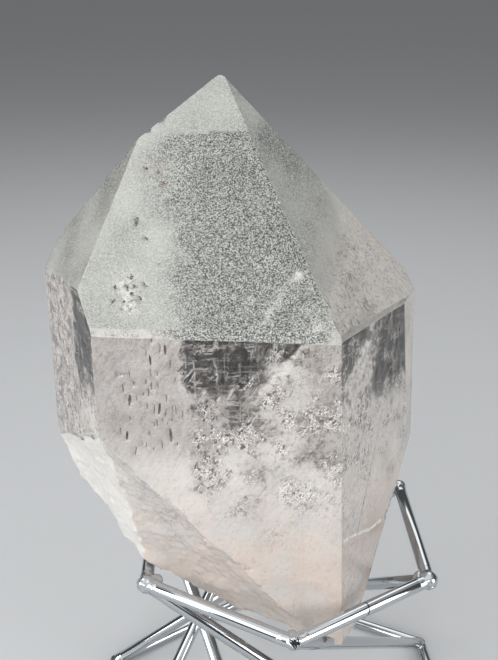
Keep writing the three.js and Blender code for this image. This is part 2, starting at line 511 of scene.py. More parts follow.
for x, z, slant, tall in POINT_MARKS:
    pit("P0", x, z, 0.3 * tall + 0.1, tall, 0.2 * tall + 0.1, slant)
for number in range(CLUSTER_PITS):
    x = CLUSTER[0] + draw.gauss(0, CLUSTER_SPREAD[0])
    z = CLUSTER[1] + draw.gauss(0, CLUSTER_SPREAD[1])
    pit("P0", x, z, draw.uniform(0.3, 0.7), draw.uniform(0.6, 1.9), 0.3, draw.uniform(-70, 70))
for x, z, length in EDGE_KNOCKS:
    pit("P0", x, z, length, KNOCK_ACROSS, KNOCK_DEPTH, KNOCK_SLANT)
print("pits on the point", len(cutters))

# %% Upright pits on the prism
PIT_GROUPS = [
    (-17.1, 4.1), (-14.1, 6.2), (-21.6, -4.3), (-17.8, -3.0), (-15.8, -6.2), (-22.6, -12.0), (-13.8, -12.0)]
SMALL_AROUND_EACH = 5
for group_x, group_z in PIT_GROUPS:
    pit("Q0", group_x, group_z, draw.uniform(0.5, 0.8), draw.uniform(2.4, 3.6), 0.5, draw.gauss(0, 5))
    for number in range(SMALL_AROUND_EACH):
        x = group_x + draw.gauss(0, 0.8)
        z = group_z + draw.gauss(0, 2.0)
        wide = draw.uniform(0.18, 0.35)
        tall = draw.uniform(1.0, 2.6)
        deep = draw.uniform(0.1, 0.2)
        pit("Q0", x, z, wide, tall, deep, draw.gauss(0, 4))

SCATTERED = [  # face, count, x range, height range, width, length range, depth, spread of the slant
    ("Q0", 26, (-24, -11), (-15, 7), (0.12, 0.22), (0.8, 2.6), 0.12, 4),
    ("Q60", 22, (24.5, 28), (-16, -8), 0.3, (0.8, 2), 0.2, 8),
    ("Q120", 18, (18, 33), (-22, 4), (0.2, 0.5), (0.9, 2.6), 0.25, 6),
    ("Q180", 18, (-20, 15), (-22, 4), (0.2, 0.5), (0.9, 2.6), 0.25, 6),
    ("Q240", 18, (-38, -30), (-22, 4), (0.2, 0.5), (0.9, 2.6), 0.25, 6),
    ("Q300", 18, (-38, -30), (-22, 4), (0.2, 0.5), (0.9, 2.6), 0.25, 6),
]
for face, count, x_range, z_range, width, lengths, deep, spread in SCATTERED:
    for number in range(count):
        x = draw.uniform(*x_range)
        z = draw.uniform(*z_range)
        wide = draw.uniform(*width) if isinstance(width, tuple) else width
        tall = draw.uniform(*lengths)
        pit(face, x, z, wide, tall, deep, draw.gauss(0, spread))
print("all pits", len(cutters))

# %% The low crack on the right face
LOW_CRACK = [(21.3, -37.4), (22.6, -37.8), (24.8, -39.2), (28.4, -41.7), (30.2, -42.3), (31.6, -42.6)]
CRACK_WIDTH = 0.9
CRACK_DEPTH = 0.22
CRACK_GAP = 0.12
RIGHT_FACE_TURN = math.radians(60)
# pits before this count get painted shade, and the crack's pieces after it are white
shaded_pit_count = len(taken)
for (x, z), (next_x, next_z) in zip(LOW_CRACK, LOW_CRACK[1:]):
    along_face = (next_x - x) / math.cos(RIGHT_FACE_TURN)
    run = math.hypot(along_face, next_z - z)
    slant = -math.degrees(math.atan2(along_face, next_z - z))
    middle = ((x + next_x) / 2, (z + next_z) / 2)
    taken.append(("Q60", *middle, next_x - x, abs(next_z - z) + 0.6))
    cutters.append(cutter("Q60", *middle, CRACK_WIDTH, run - CRACK_GAP, CRACK_DEPTH, slant, blunt=True))
print("pieces of the crack", len(taken) - shaded_pit_count)

# %% Take the cutters out of the crystal
choose(*cutters)
bpy.ops.object.join()
pits = bpy.context.active_object
apply_modifier(quartz, 'BOOLEAN', operation='DIFFERENCE', solver='MANIFOLD', object=pits)
bpy.data.objects.remove(pits)
print("crystal now", len(quartz.data.polygons), "faces")

# %% [markdown]
# ## Enough points on the flat faces
#
# How clear, milky or etched the crystal is changes across its faces. Those amounts are kept as attributes,
# and an attribute only changes from one point to the next, so a flat face with four corners can't hold one.
# Long edges are halved again and again, which adds points and moves none.

# %% Subdivide the long edges
LONGEST_EDGE = 1.7 * MM
ROUNDS = 7


def select_long_edges(mesh, length):
    """Select the edges longer than a length, and return how many there are."""
    ends = read(mesh.edges, "vertices", 2, np.int32)
    places = read(mesh.vertices, "co", 3)
    long = np.linalg.norm(places[ends[:, 0]] - places[ends[:, 1]], axis=1) > length
    mesh.polygons.foreach_set("select", np.zeros(len(mesh.polygons), dtype=bool))
    mesh.vertices.foreach_set("select", np.zeros(len(mesh.vertices), dtype=bool))
    mesh.edges.foreach_set("select", long)
    return int(long.sum())


choose(quartz)
bpy.ops.object.mode_set(mode='EDIT')
bpy.ops.mesh.select_mode(type='EDGE')
bpy.ops.mesh.select_all(action='SELECT')
bpy.ops.mesh.quads_convert_to_tris(quad_method='BEAUTY', ngon_method='BEAUTY')
for step in range(ROUNDS):
    bpy.ops.object.mode_set(mode='OBJECT')
    left = select_long_edges(quartz.data, LONGEST_EDGE)
    bpy.ops.object.mode_set(mode='EDIT')
    if not left:
        break
    bpy.ops.mesh.subdivide(number_cuts=1)
    bpy.ops.mesh.select_all(action='SELECT')
    bpy.ops.mesh.quads_convert_to_tris(quad_method='BEAUTY', ngon_method='BEAUTY')
    bpy.ops.mesh.beautify_fill(angle_limit=math.radians(0.5))
bpy.ops.object.mode_set(mode='OBJECT')
print("halved", step, "times, long edges left", left, "crystal now", len(quartz.data.polygons), "faces")

# %% [markdown]
# ## Clear, milky, etched and broken
#
# The etched point faces look like ground glass. Below them the crystal is clear where the photograph shows
# dark windows, and milky with tiny bubbles elsewhere. All of it is one crystal, so it gets one material, and
# six amounts say where it changes: etched, clear, shade, broken, crackled and stained. They are worked out
# here, because a soft ragged limit is a line of arithmetic in code and a tangle in a node tree.

# %% Name the grown faces
STRIP_AZIMUTH = -26
named_planes = {}
for normal, distance, kind in planes:
    for name, (known_normal, known_distance) in PLANE_AT.items():
        if np.allclose(normal, known_normal) and abs(distance - known_distance) < 0.01:
            named_planes[name] = (normal, distance)
    if kind == "narrow":
        named_planes["band_right" if normal[0] > 0.5 else "band_front"] = (normal, distance)
    if kind == "side" and abs(math.degrees(math.atan2(normal[1], normal[0])) - STRIP_AZIMUTH) < 2:
        named_planes["strip_right"] = (normal, distance)
face_names = list(named_planes)
print("named faces", face_names)

# %% Sort every small face to the grown face that it lies on
ON_FACE = 0.5  # millimetres from a grown face that still count as that face
BROKEN = -1
PALE_EDGE_ANGLE = math.radians(3)
centres = (read(quartz.data.polygons, "center", 3) - heart_array) @ lean_array / MM
face_normals = read(quartz.data.polygons, "normal", 3) @ lean_array
gaps = np.stack([np.abs(centres @ n - d) + 5 * (face_normals @ n < 0.5) for n, d in named_planes.values()])
face_of = np.where(gaps.min(axis=0) < ON_FACE, gaps.argmin(axis=0), BROKEN)
in_pit = np.zeros(len(face_of), dtype=bool)
in_crack = np.zeros(len(face_of), dtype=bool)
for number, (face, pit_x, pit_z, across, upward) in enumerate(taken):
    normal, distance = PLANE_AT[face]
    sunk = distance - centres @ np.array(normal)
    here = (sunk > 0.02) & (sunk < 0.8) & (np.abs(centres[:, 2] - pit_z) < upward / 2)
    here &= (np.abs(centres[:, 0] - pit_x) < across / 2) & (face_normals @ np.array(normal) > 0)
    if number < shaded_pit_count:
        in_pit |= here
    else:
        in_crack |= here
    face_of[here] = face_names.index(face)
true_normals = np.array([normal for normal, distance in named_planes.values()])
# small faces tilted off their face's true plane are the softened edges, made pale further down
off_true = (face_normals * true_normals[face_of]).sum(axis=1) < math.cos(PALE_EDGE_ANGLE)
worn_and_highlit_edge = (face_of != BROKEN) & ~in_pit & off_true
print("broken", int((face_of == BROKEN).sum()), "in pits", int(in_pit.sum()), "of", len(face_of))
print("in the crack", int(in_crack.sum()), "worn_and_highlit", int(worn_and_highlit_edge.sum()))

# %% Places and noise at every corner of the mesh
corner_vertex = read(quartz.data.loops, "vertex_index", 1, np.int32)
corner_count = read(quartz.data.polygons, "loop_total", 1, np.int32)
corner_face = np.repeat(face_of, corner_count)
places = crystal_places(quartz.data)
x, z = places[corner_vertex][:, [0, 2]].T


def noise_at(size, shift=(0, 0, 0)):
    """Smooth noise with patches of a size in millimetres, one value for each corner."""
    return np.array([noise.noise(Vector(p) / size + Vector(shift)) for p in places])[corner_vertex]


soft = noise_at(6.5)
fine = noise_at(2.2, (9, 4, 2))
speck = noise_at(0.9, (3, 8, 5))
cloud = noise_at(4.5, (5, 2, 9))
print("corners", len(x))

# %% Set amounts on a face, and draw soft lines on it
AMOUNTS = ("etched", "clear", "shade", "broken", "crackled", "stained")
amounts = {name: np.zeros(len(x)) for name in AMOUNTS}


def fill(face, **values):
    """Set the amounts at the corners that lie on one face, or on the break."""
    here = corner_face == (face_names.index(face) if face else BROKEN)
    for name, value in values.items():
        amounts[name][here] = (value + np.zeros(len(x)))[here]


def near_line(start, end, width):
    """1 on a line between two places given as x and height, fading to 0 over a width."""
    a, b = np.array(start), np.array(end)
    offset = np.stack([x, z], axis=1) - a
    along = np.clip(offset @ (b - a) / max((b - a) @ (b - a), 1e-6), 0, 1)
    return np.exp(-(np.linalg.norm(offset - along[:, None] * (b - a), axis=1) / width) ** 2)


def strokes(rows):
    """Several soft lines added up, each given as a strength, its two ends and its width."""
    return sum(strength * near_line(start, end, width) for strength, start, end, width in rows)


# %% The front face of the point
# darker etched glass fills its middle and right, and a pale cap, a pale foot and a faint chevron lie on it
TOP_CAP = 44.3
DARK_LIMIT_HEIGHTS = (10, 22, 30, 36, 40, 44)
DARK_LIMIT = (-9, -8, -10, -13, -12, -9)  # x at those heights
CHEVRON = [(1.0, (12.3, 19.1), (5.3, 11.4), 0.9), (0.6, (12.3, 19.1), (14.5, 16.0), 0.9)]
STAINED_MARKS = 4
dark_from = np.interp(z, DARK_LIMIT_HEIGHTS, DARK_LIMIT)
darker_middle = smooth(-9, 11, x - dark_from + 2.5 * soft + 1.8 * fine)
foot = 1 - smooth(9, 19, z + 1.5 * soft)
cap = smooth(TOP_CAP - 0.2, TOP_CAP + 0.2, z)
chevron = strokes(CHEVRON) * (1.1 + 0.6 * fine)
front_shade = 0.28 + 0.62 * darker_middle + 0.08 * soft - 0.5 * chevron
front_shade -= foot * (0.14 * darker_middle + 0.3 * smooth(9, 16, x))
cap_shade = 0.26 + 0.2 * smooth(-4, 6, x) + 0.06 * soft
stain_spots = [(0.55, (x_mark, z_mark), (x_mark, z_mark), 0.9) for x_mark, z_mark, slant, tall in POINT_MARKS]
stain = strokes(stain_spots[:STAINED_MARKS]) * smooth(-0.2, 0.3, speck)
# the pit cluster, the lower right corner and the chevron get crackle, which brings painted glints
cluster = near_line((CLUSTER[0], CLUSTER[1] - 2), (CLUSTER[0] - 0.5, CLUSTER[1] + 2), 1.8)
corner_glints = 0.6 * smooth(9, 17, x) * (1 - smooth(9, 15, z)) + 0.4 * chevron
fill("P0", etched=1.0, clear=0.12 + 0.1 * soft, shade=front_shade * (1 - cap) + cap_shade * cap,
     stained=stain, crackled=np.clip(cluster + corner_glints, 0, 1))
print("darker middle", round(float(darker_middle[corner_face == face_names.index("P0")].mean()), 2))

# %% The right face of the point
# it is etched at its upper left and turns milky with white fibres towards its lower right edge
SIDE_VEILS = [(1.0, (18, 12), (27, 19), 1.6), (1.0, (22, 10), (31, 13.5), 1.6)]
SIDE_GLOW = [(1.0, (20.5, 10), (24, 10.5), 2.2), (0.8, (23.3, 15.9), (28.3, 17.0), 1.2)]
milky_below = smooth(-7, 9, (x - 19) + (22 - z) * 0.6 + 3 * soft + fine)
edge_beige = smooth(26, 32, x + 0.35 * (z - 8) + fine)
blotch = near_line((6, 43), (11.5, 38), 2.2)
side_shade = 0.37 + 0.12 * soft + 0.3 * blotch - 0.2 * milky_below - 0.45 * strokes(SIDE_VEILS)
side_glow = np.clip(strokes(SIDE_GLOW) * (0.9 + 1.5 * speck + 0.6 * fine), 0, 1)
fill("P60", etched=1 - 0.9 * milky_below, clear=0.15 + 0.25 * milky_below - 0.1 * edge_beige,
     shade=side_shade * (1 - 0.75 * edge_beige), crackled=0.4 * milky_below + 0.3 * side_glow,
     broken=0.85 * side_glow)
print("milky share", round(float(milky_below[corner_face == face_names.index("P60")].mean()), 2))

# %% The other point faces and the narrow faces
left_shade = 0.33 + 0.12 * soft + 0.2 * smooth(25, 40, z)
fill("P300", etched=0.9, clear=0.2 + 0.1 * soft, shade=left_shade, crackled=0.1)
for face in ("P120", "P180", "P240"):
    fill(face, etched=0.95, clear=0.15, shade=0.45 + 0.35 * soft + 0.15 * fine, crackled=0.1)
band_dark = smooth(-16, -8, x) * (1 - smooth(15, 18, x))
fill("band_front", etched=0.6 + 0.4 * band_dark, clear=0.1, shade=0.4 + 0.95 * band_dark + 0.3 * fine)
fill("band_right", etched=0.6, clear=0.3, shade=0.42 + 0.2 * fine, crackled=0.4)
fill("strip_right", etched=0.1, clear=0.2 + 0.15 * soft, shade=0.18 + 0.2 * soft, crackled=0.2)
print("point done")

# %% What the prism faces share
crackle_clusters = 0.12 + 0.95 * smooth(0.0, 0.4, cloud + 0.4 * fine)


def prism(window, side_milk, lines=0.0):
    """Amounts on a prism face: a clear window above, mottled below it, and milky lower down."""
    mottled = smooth(-40, -12, z + 6 * soft) * (1 - side_milk)
    field = 0.04 + 0.32 * mottled + 0.52 * window * (1 - side_milk) - lines + 0.1 * soft
    shade = 0.05 + 0.2 * soft + 0.12 * mottled + 0.5 * side_milk * smooth(-24, -10, z) - 0.3 * lines
    crackled = 0.12 + 1.1 * crackle_clusters * mottled * (1 - 0.4 * window) + 0.6 * lines
    crackled += 0.1 * side_milk * smooth(-20, -8, z)
    return {"etched": 0.0, "clear": np.clip(field, 0, 1), "shade": np.clip(shade, 0, 1),
            "crackled": np.clip(crackled, 0, 1), "broken": np.clip(1.6 * lines, 0, 0.9)}


# %% The front prism face
# a window under the point, milk on its left, veils across it and two bright patches of cracks
WINDOW_FLOOR_PLACES = (-9, -4, 1, 4, 6.5, 12.2, 13.8)
WINDOW_FLOOR = (-14, -18, -18, -12, -3, 0.5, 7.5)  # height of the window's lower limit at each x
WINDOW_TOP = 9
FRONT_VEILS = [
    (0.6, (13.5, 8), (9.5, 2.5), 0.6), (0.5, (9.5, 2.5), (5, -3), 0.7),
    (0.3, (19, 1), (9, -8), 2.2), (0.4, (9, 1), (19, 0), 1.4)]
BRIGHT_PATCHES = [(1.0, (9, -25.5), (14.5, -24.8), 1.7), (1.0, (7.6, -16.8), (8.6, -16.0), 1.1)]
on_front = corner_face == face_names.index("Q0")
milky_left = 1 - smooth(-12.5, -9, x + 1.6 * fine + 0.8 * speck)
front_veils = strokes(FRONT_VEILS) * (0.6 + 1.2 * speck + 0.5 * fine)
window_floor = np.interp(x, WINDOW_FLOOR_PLACES, WINDOW_FLOOR)
front_window = smooth(0, 1, (z - window_floor + 2.0 * soft + 2.5 * fine) / (WINDOW_TOP - window_floor))
front_window *= 1 - smooth(12.6, 14.2, x + 0.6 * fine)
fill("Q0", **prism(1.12 * front_window ** 1.4, milky_left, front_veils))
amounts["shade"] += 0.32 * smooth(10, 16, x) * smooth(-20, -8, z) * on_front
bright_patch = np.clip(strokes(BRIGHT_PATCHES) * (0.9 + 1.2 * speck), 0, 1) * on_front
amounts["shade"] -= 0.3 * bright_patch
amounts["broken"] += 0.95 * bright_patch
amounts["crackled"] += 0.9 * bright_patch
print("front window", round(float(front_window[on_front].mean()), 2))

# %% The right and left prism faces
# long fibres fan out across the right one, and the left one has a sparkling strip along its far edge
RIGHT_VEILS = [
    (0.5, (28.2, 8), (24.3, -2), 1.2), (0.5, (24.3, -2), (21.3, -10), 2.2),
    (0.3, (31, 7), (26.5, -5), 1.3), (0.3, (26, 1), (20.5, -3), 0.7)]
right_veils = strokes(RIGHT_VEILS) * (0.75 + 0.9 * speck)
right_veils += 0.25 * smooth(-9, -1, -z - 0.4 * (x - 25)) * (1 - smooth(27, 30, x))
fill("Q60", **prism(smooth(-13, -5, z + 3 * fine), 0 * x, right_veils))
# the strip's sparkle is painted glints and white flakes over darker milk
sparkle_strip = 1 - smooth(-35.5, -32.5, x + fine)
fill("Q300", **prism(0.88 * smooth(-9, 6, z + 3 * soft), 0.8 * sparkle_strip, 0.6 * sparkle_strip))
strip_here = sparkle_strip * (corner_face == face_names.index("Q300"))
amounts["crackled"] = np.maximum(amounts["crackled"], 0.95 * strip_here)
amounts["shade"] += 0.36 * strip_here
amounts["broken"] += 0.9 * strip_here * smooth(0.05, 0.3, speck + 0.3 * fine)
print("sparkling share", round(float(strip_here.mean()), 3))

# %% The back of the prism, and the break
torn = soft + 0.7 * fine + 0.5 * speck + 0.05 * (x * 0.5 + z)
for face in ("Q120", "Q180", "Q240"):
    fill(face, **prism(0.8 * smooth(-12, 2, z + 5 * soft + 3 * fine), 0.75 * smooth(-0.1, 0.9, torn)))
CHIP_TOWARDS = np.array(direction(-143.5, -16.5))
FRONT_BREAK_TOWARDS = np.array(direction(-111.5, -18))
chip_plane = int((break_normals @ CHIP_TOWARDS).argmax())
front_plane = int((break_normals @ FRONT_BREAK_TOWARDS).argmax())
beyond = places @ break_normals.T - break_distances
past_ridge = (beyond[:, chip_plane] - beyond[:, front_plane])[corner_vertex]
# the chip side is painted whiter than the rest of the break: partly its own white, partly painted light on the
# face turned to the left lamp
chip_side = smooth(-0.3, 0.3, past_ridge + 0.5 * fine)
upper_break = smooth(-44, -30, z + 2 * fine)
break_shade = (0.02 + 0.12 * upper_break + 0.2 * soft + 0.1 * fine) * (1 - chip_side)
fill(None, etched=0.0, broken=0.42 + 0.58 * chip_side, clear=0.02 + 0.08 * soft,
     crackled=(0.04 + 0.24 * upper_break + 0.14 * soft) * (1 - 0.8 * chip_side),
     shade=np.clip(break_shade, 0, 1))
print("chip share of the break", round(float(chip_side[corner_face == BROKEN].mean()), 2))

# %% Painted shade in the pits, a white low crack, and pale edges that are partly wear and partly a painted highlight
EDGE_WEAR_AND_HIGHLIGHT = 0.45
# painted shade in the pits: their corners take the darkest milk and are not see-through
pit_shade_corners = np.repeat(in_pit, corner_count)
amounts["shade"][pit_shade_corners] = 1.0
amounts["clear"][pit_shade_corners] = 0.0
amounts["crackled"][pit_shade_corners] = 0.0
low_crack = np.repeat(in_crack, corner_count)
amounts["broken"][low_crack] = 1.0
amounts["shade"][low_crack] = 0.0
# pale edges: partly wear from tiny chips, partly a painted highlight where an edge would catch the light
edge = np.repeat(worn_and_highlit_edge, corner_count)
edge_wear_and_highlight = smooth(-0.25, 0.15, speck + 0.6 * soft) * EDGE_WEAR_AND_HIGHLIGHT
for name in ("etched", "clear", "shade", "crackled"):
    amounts[name][edge] *= (1 - edge_wear_and_highlight)[edge]
for name, values in amounts.items():
    layer = quartz.data.attributes.new(name, 'FLOAT', 'CORNER')
    layer.data.foreach_set("value", np.clip(values, 0, 1).astype(np.float32))
    print(name, "mean", round(float(values.mean()), 2))

# %% Flat faces stay flat, the break is smooth between its ridges
RIDGE_ANGLE = math.radians(24)
choose(quartz)
bpy.ops.object.shade_smooth_by_angle(angle=RIDGE_ANGLE)
print("shaded", quartz.name)

# %% [markdown]
# ## Quartz as a material
#
# Quartz is a clear oxide with an index of refraction of 1.544, and a little natural radiation turns it smoky.
# So it is see-through, the smoke is a plain absorption in its volume, and only the surface changes: glossy
# with fine growth lines across the prism, sugary on the etched point, satin on the break. Milk is made of
# bubbles too small to draw, so there the surface lets less light through and shows its own pale colour
# instead.

# %% Colours and real sizes of the quartz
MILK_LIGHT = '#cac5bf'
MILK_WARM = '#bcafa6'  # low down, where the milk is thick and a little pink
MILK_COOL = '#b2b2b1'
MILK_DARK = '#7f7976'
# white of cracks, fibres and flakes; on the chip face it is partly painted light, where that face turns to the
# left lamp
WHITE_CRACKS_AND_LIT_CHIP = '#d3d0cb'
WINDOW_DEEP = '#211f1e'
WINDOW_PALE = '#6c6764'
ETCH_LIGHT = '#c1c2bc'
ETCH_DARK = '#23292e'
ETCH_GREEN = '#333a33'
STAIN = '#8d7060'
# SPARKLE is the white of the painted glints
SPARKLE = '#fbf7f2'
FLECK = '#4c4644'
ETCH_GRAIN = 0.14  # millimetres, a few times coarser than the real grain so that it shows
GROWTH_LINE = 0.45  # between the growth lines across the prism, drawn a little coarser than they are
UPRIGHT_LINE = 0.6
CRACK_SPACING = 1.3
SHARD = 1.7
BLOCK = 1.5  # across the blocks between the cracks of a window
CRACKLE = 2.4
SPARKLE_SIZE = 0.75
CLOUD = 9
DRIFT = 15
VEIL_SLANT = math.radians(35)
STEEP_SLANT = math.radians(27)
QUARTZ_IOR = 1.544
SMOKE = (0.6, 0.54, 0.5, 1)
SMOKE_DENSITY = 16

# %% The material, its place in millimetres and its six amounts
# settings that many nodes share
SMOOTH = {'interpolation_type': 'SMOOTHSTEP'}
COLOURS = {'data_type': 'RGBA'}
ADD = {'operation': 'ADD'}
SUBTRACT = {'operation': 'SUBTRACT'}
MULTIPLY = {'operation': 'MULTIPLY'}
MULTIPLY_ADD = {'operation': 'MULTIPLY_ADD'}
CLAMPED = {'operation': 'MULTIPLY_ADD', 'use_clamp': True}
ABSOLUTE = {'operation': 'ABSOLUTE'}
MAXIMUM = {'operation': 'MAXIMUM'}

# grown quartz: the eye sees depth in its windows, while its milk and its etched faces stop the light
grown_quartz = bpy.data.materials.new("grown_quartz")
grown_quartz.use_nodes = True
tree = grown_quartz.node_tree
object_place = add(tree, 'ShaderNodeTexCoord', output='Object')
crystal_mm = add(tree, 'ShaderNodeMapping', None, {
    'Vector': object_place, 'Location': -(to_crystal @ heart) / MM, 'Rotation': to_crystal.to_euler(),
    'Scale': (1 / MM, 1 / MM, 1 / MM)})
across_crystal = add(tree, 'ShaderNodeSeparateXYZ', None, {0: crystal_mm})
up_crystal = add(tree, 'ShaderNodeSeparateXYZ', None, {0: crystal_mm}, 2)
etched, clear, shade, broken, crackled, stained = [
    add(tree, 'ShaderNodeAttribute', {'attribute_name': name}, output='Fac') for name in AMOUNTS]
print("amounts in the shader", AMOUNTS)

# %% Growth lines: noise drawn out level, upright or on a slant
level = add(tree, 'ShaderNodeMapping', None, {'Vector': crystal_mm, 'Scale': (0.1, 0.1, 1.0)})
level_lines = add(tree, 'ShaderNodeTexNoise', None, {
    'Vector': level, 'Scale': 1 / GROWTH_LINE, 'Detail': 2.0})
level_cracks = add(tree, 'ShaderNodeTexNoise', None, {
    'Vector': level, 'Scale': 1 / CRACK_SPACING, 'Detail': 3.0})
upright = add(tree, 'ShaderNodeMapping', None, {'Vector': crystal_mm, 'Scale': (1.0, 1.0, 0.09)})
upright_lines = add(tree, 'ShaderNodeTexNoise', None, {
    'Vector': upright, 'Scale': 1 / UPRIGHT_LINE, 'Detail': 2.0})
upright_cracks = add(tree, 'ShaderNodeTexNoise', None, {
    'Vector': upright, 'Scale': 0.6 / CRACK_SPACING, 'Detail': 3.0})
turned = add(tree, 'ShaderNodeMapping', None, {'Vector': crystal_mm, 'Rotation': (0, -VEIL_SLANT, 0)})
fibres = add(tree, 'ShaderNodeMapping', None, {'Vector': turned, 'Scale': (1.0, 1.0, 0.1)})
front_lines = add(tree, 'ShaderNodeTexNoise', None, {
    'Vector': fibres, 'Scale': 1 / UPRIGHT_LINE, 'Detail': 3.0})
steeper = add(tree, 'ShaderNodeMapping', None, {'Vector': crystal_mm, 'Rotation': (0, -STEEP_SLANT, 0)})
steep_fibres = add(tree, 'ShaderNodeMapping', None, {'Vector': steeper, 'Scale': (1.0, 1.0, 0.08)})
right_lines = add(tree, 'ShaderNodeTexNoise', None, {
    'Vector': steep_fibres, 'Scale': 1 / UPRIGHT_LINE, 'Detail': 3.0})
on_right = add(tree, 'ShaderNodeMapRange', SMOOTH, {
    'Value': across_crystal, 'From Min': 20.3, 'From Max': 21.3})
slanted_lines = add(tree, 'ShaderNodeMix', None, {'Factor': on_right, 2: front_lines, 3: right_lines})
print("line patterns ready, nodes so far", len(tree.nodes))

# %% Crackle, shards, blocks, clouds and etched grains
crackle = add(tree, 'ShaderNodeTexNoise', None, {
    'Vector': crystal_mm, 'Scale': 1 / CRACKLE, 'Detail': 8.0, 'Roughness': 0.72, 'Distortion': 0.5})
jitter = add(tree, 'ShaderNodeTexNoise', None, {
    'Vector': crystal_mm, 'Scale': 1 / SPARKLE_SIZE, 'Detail': 2.0}, 1)
slanted = add(tree, 'ShaderNodeMapping', None, {'Vector': turned, 'Scale': (1.0, 1.0, 0.6)})
glitter = add(tree, 'ShaderNodeTexNoise', None, {
    'Vector': slanted, 'Scale': 1 / SPARKLE_SIZE, 'Detail': 6.0, 'Roughness': 0.75})
wander = add(tree, 'ShaderNodeVectorMath', ADD, {0: crystal_mm, 1: jitter})
shards = add(tree, 'ShaderNodeTexVoronoi', None, {'Vector': wander, 'Scale': 1 / SHARD}, 1)
shard_tone = add(tree, 'ShaderNodeSeparateColor', None, {0: shards})
clouds = add(tree, 'ShaderNodeTexNoise', None, {
    'Vector': wander, 'Scale': 1 / CLOUD, 'Detail': 5.0, 'Roughness': 0.6})
unsteady = add(tree, 'ShaderNodeVectorMath', MULTIPLY_ADD, {0: jitter, 1: (0.9, 0.9, 0.9), 2: crystal_mm})
tall_cells = add(tree, 'ShaderNodeMapping', None, {'Vector': unsteady, 'Scale': (1.0, 1.0, 0.6)})
blocks = add(tree, 'ShaderNodeTexVoronoi', {'distance': 'CHEBYCHEV'}, {
    'Vector': tall_cells, 'Scale': 1 / BLOCK}, 1)
block_tone = add(tree, 'ShaderNodeSeparateColor', None, {0: blocks})
grains = add(tree, 'ShaderNodeTexVoronoi', None, {'Vector': crystal_mm, 'Scale': 1 / ETCH_GRAIN}, 1)
grain = add(tree, 'ShaderNodeSeparateColor', None, {0: grains})
drift = add(tree, 'ShaderNodeTexNoise', None, {'Vector': crystal_mm, 'Scale': 1 / DRIFT, 'Detail': 1.0})
print("cell patterns ready, nodes so far", len(tree.nodes))

# %% Thin bright cracks
CRACK_THIN = 0.05  # how far from its middle value the noise still counts as a crack
VEIN_THIN = 0.035


def thin_lines(pattern, thin):
    """Lines along which a noise crosses its middle value, long ones where the noise is drawn out."""
    off_middle = add(tree, 'ShaderNodeMath', SUBTRACT, {0: pattern, 1: 0.5})
    off_middle = add(tree, 'ShaderNodeMath', ABSOLUTE, {0: off_middle})
    return add(tree, 'ShaderNodeMapRange', SMOOTH, {'Value': off_middle, 'From Min': thin, 'From Max': 0.0})


level_bright = thin_lines(level_cracks, CRACK_THIN)
upright_bright = thin_lines(upright_cracks, CRACK_THIN)
lattice = add(tree, 'ShaderNodeMath', MAXIMUM, {0: level_bright, 1: upright_bright})
slanted_bright = add(tree, 'ShaderNodeMapRange', SMOOTH, {
    'Value': slanted_lines, 'From Min': 0.52, 'From Max': 0.68})
slanted_here = add(tree, 'ShaderNodeMath', MULTIPLY, {0: slanted_bright, 1: crackled})
print("cracks ready, nodes so far", len(tree.nodes))

# %% Sparkles and flecks in the crackled milk: the sparkles are painted glints
bright_side = add(tree, 'ShaderNodeMapRange', SMOOTH, {'Value': crackle, 'From Min': 0.4, 'From Max': 0.54})
dark_side = add(tree, 'ShaderNodeMapRange', SMOOTH, {'Value': crackle, 'From Min': 0.6, 'From Max': 0.46})
dots = add(tree, 'ShaderNodeMapRange', SMOOTH, {'Value': glitter, 'From Min': 0.56, 'From Max': 0.66})
veins = thin_lines(glitter, VEIN_THIN)
glint = add(tree, 'ShaderNodeMath', MAXIMUM, {0: dots, 1: veins})
glint = add(tree, 'ShaderNodeMath', MULTIPLY, {0: glint, 1: crackled})
glint = add(tree, 'ShaderNodeMath', MULTIPLY, {0: glint, 1: bright_side})
fleck = add(tree, 'ShaderNodeMapRange', SMOOTH, {'Value': glitter, 'From Min': 0.47, 'From Max': 0.38})
fleck = add(tree, 'ShaderNodeMath', MULTIPLY, {0: fleck, 1: crackled})
fleck = add(tree, 'ShaderNodeMath', MULTIPLY, {0: fleck, 1: dark_side})
print("sparkles ready, nodes so far", len(tree.nodes))

# %% How much light each place lets in
field = add(tree, 'ShaderNodeMath', MULTIPLY_ADD, {0: crackle, 1: 0.9, 2: clear})
field = add(tree, 'ShaderNodeMath', MULTIPLY_ADD, {0: slanted_here, 1: -0.35, 2: field})
window = add(tree, 'ShaderNodeMapRange', SMOOTH, {'Value': field, 'From Min': 0.72, 'From Max': 1.15})
line_here = add(tree, 'ShaderNodeMath', MULTIPLY, {0: lattice, 1: shard_tone})
unlined = add(tree, 'ShaderNodeMath', CLAMPED, {0: line_here, 1: -0.75, 2: 1.0})
window = add(tree, 'ShaderNodeMath', MULTIPLY, {0: window, 1: unlined})
see_body = add(tree, 'ShaderNodeMath', CLAMPED, {0: window, 1: 0.83, 2: 0.1})
see = add(tree, 'ShaderNodeMix', None, {'Factor': etched, 2: see_body, 3: clear})
dull = add(tree, 'ShaderNodeMath', CLAMPED, {0: glint, 1: -0.9, 2: 1.0})
see = add(tree, 'ShaderNodeMath', MULTIPLY, {0: see, 1: dull})
print("windows ready, nodes so far", len(tree.nodes))

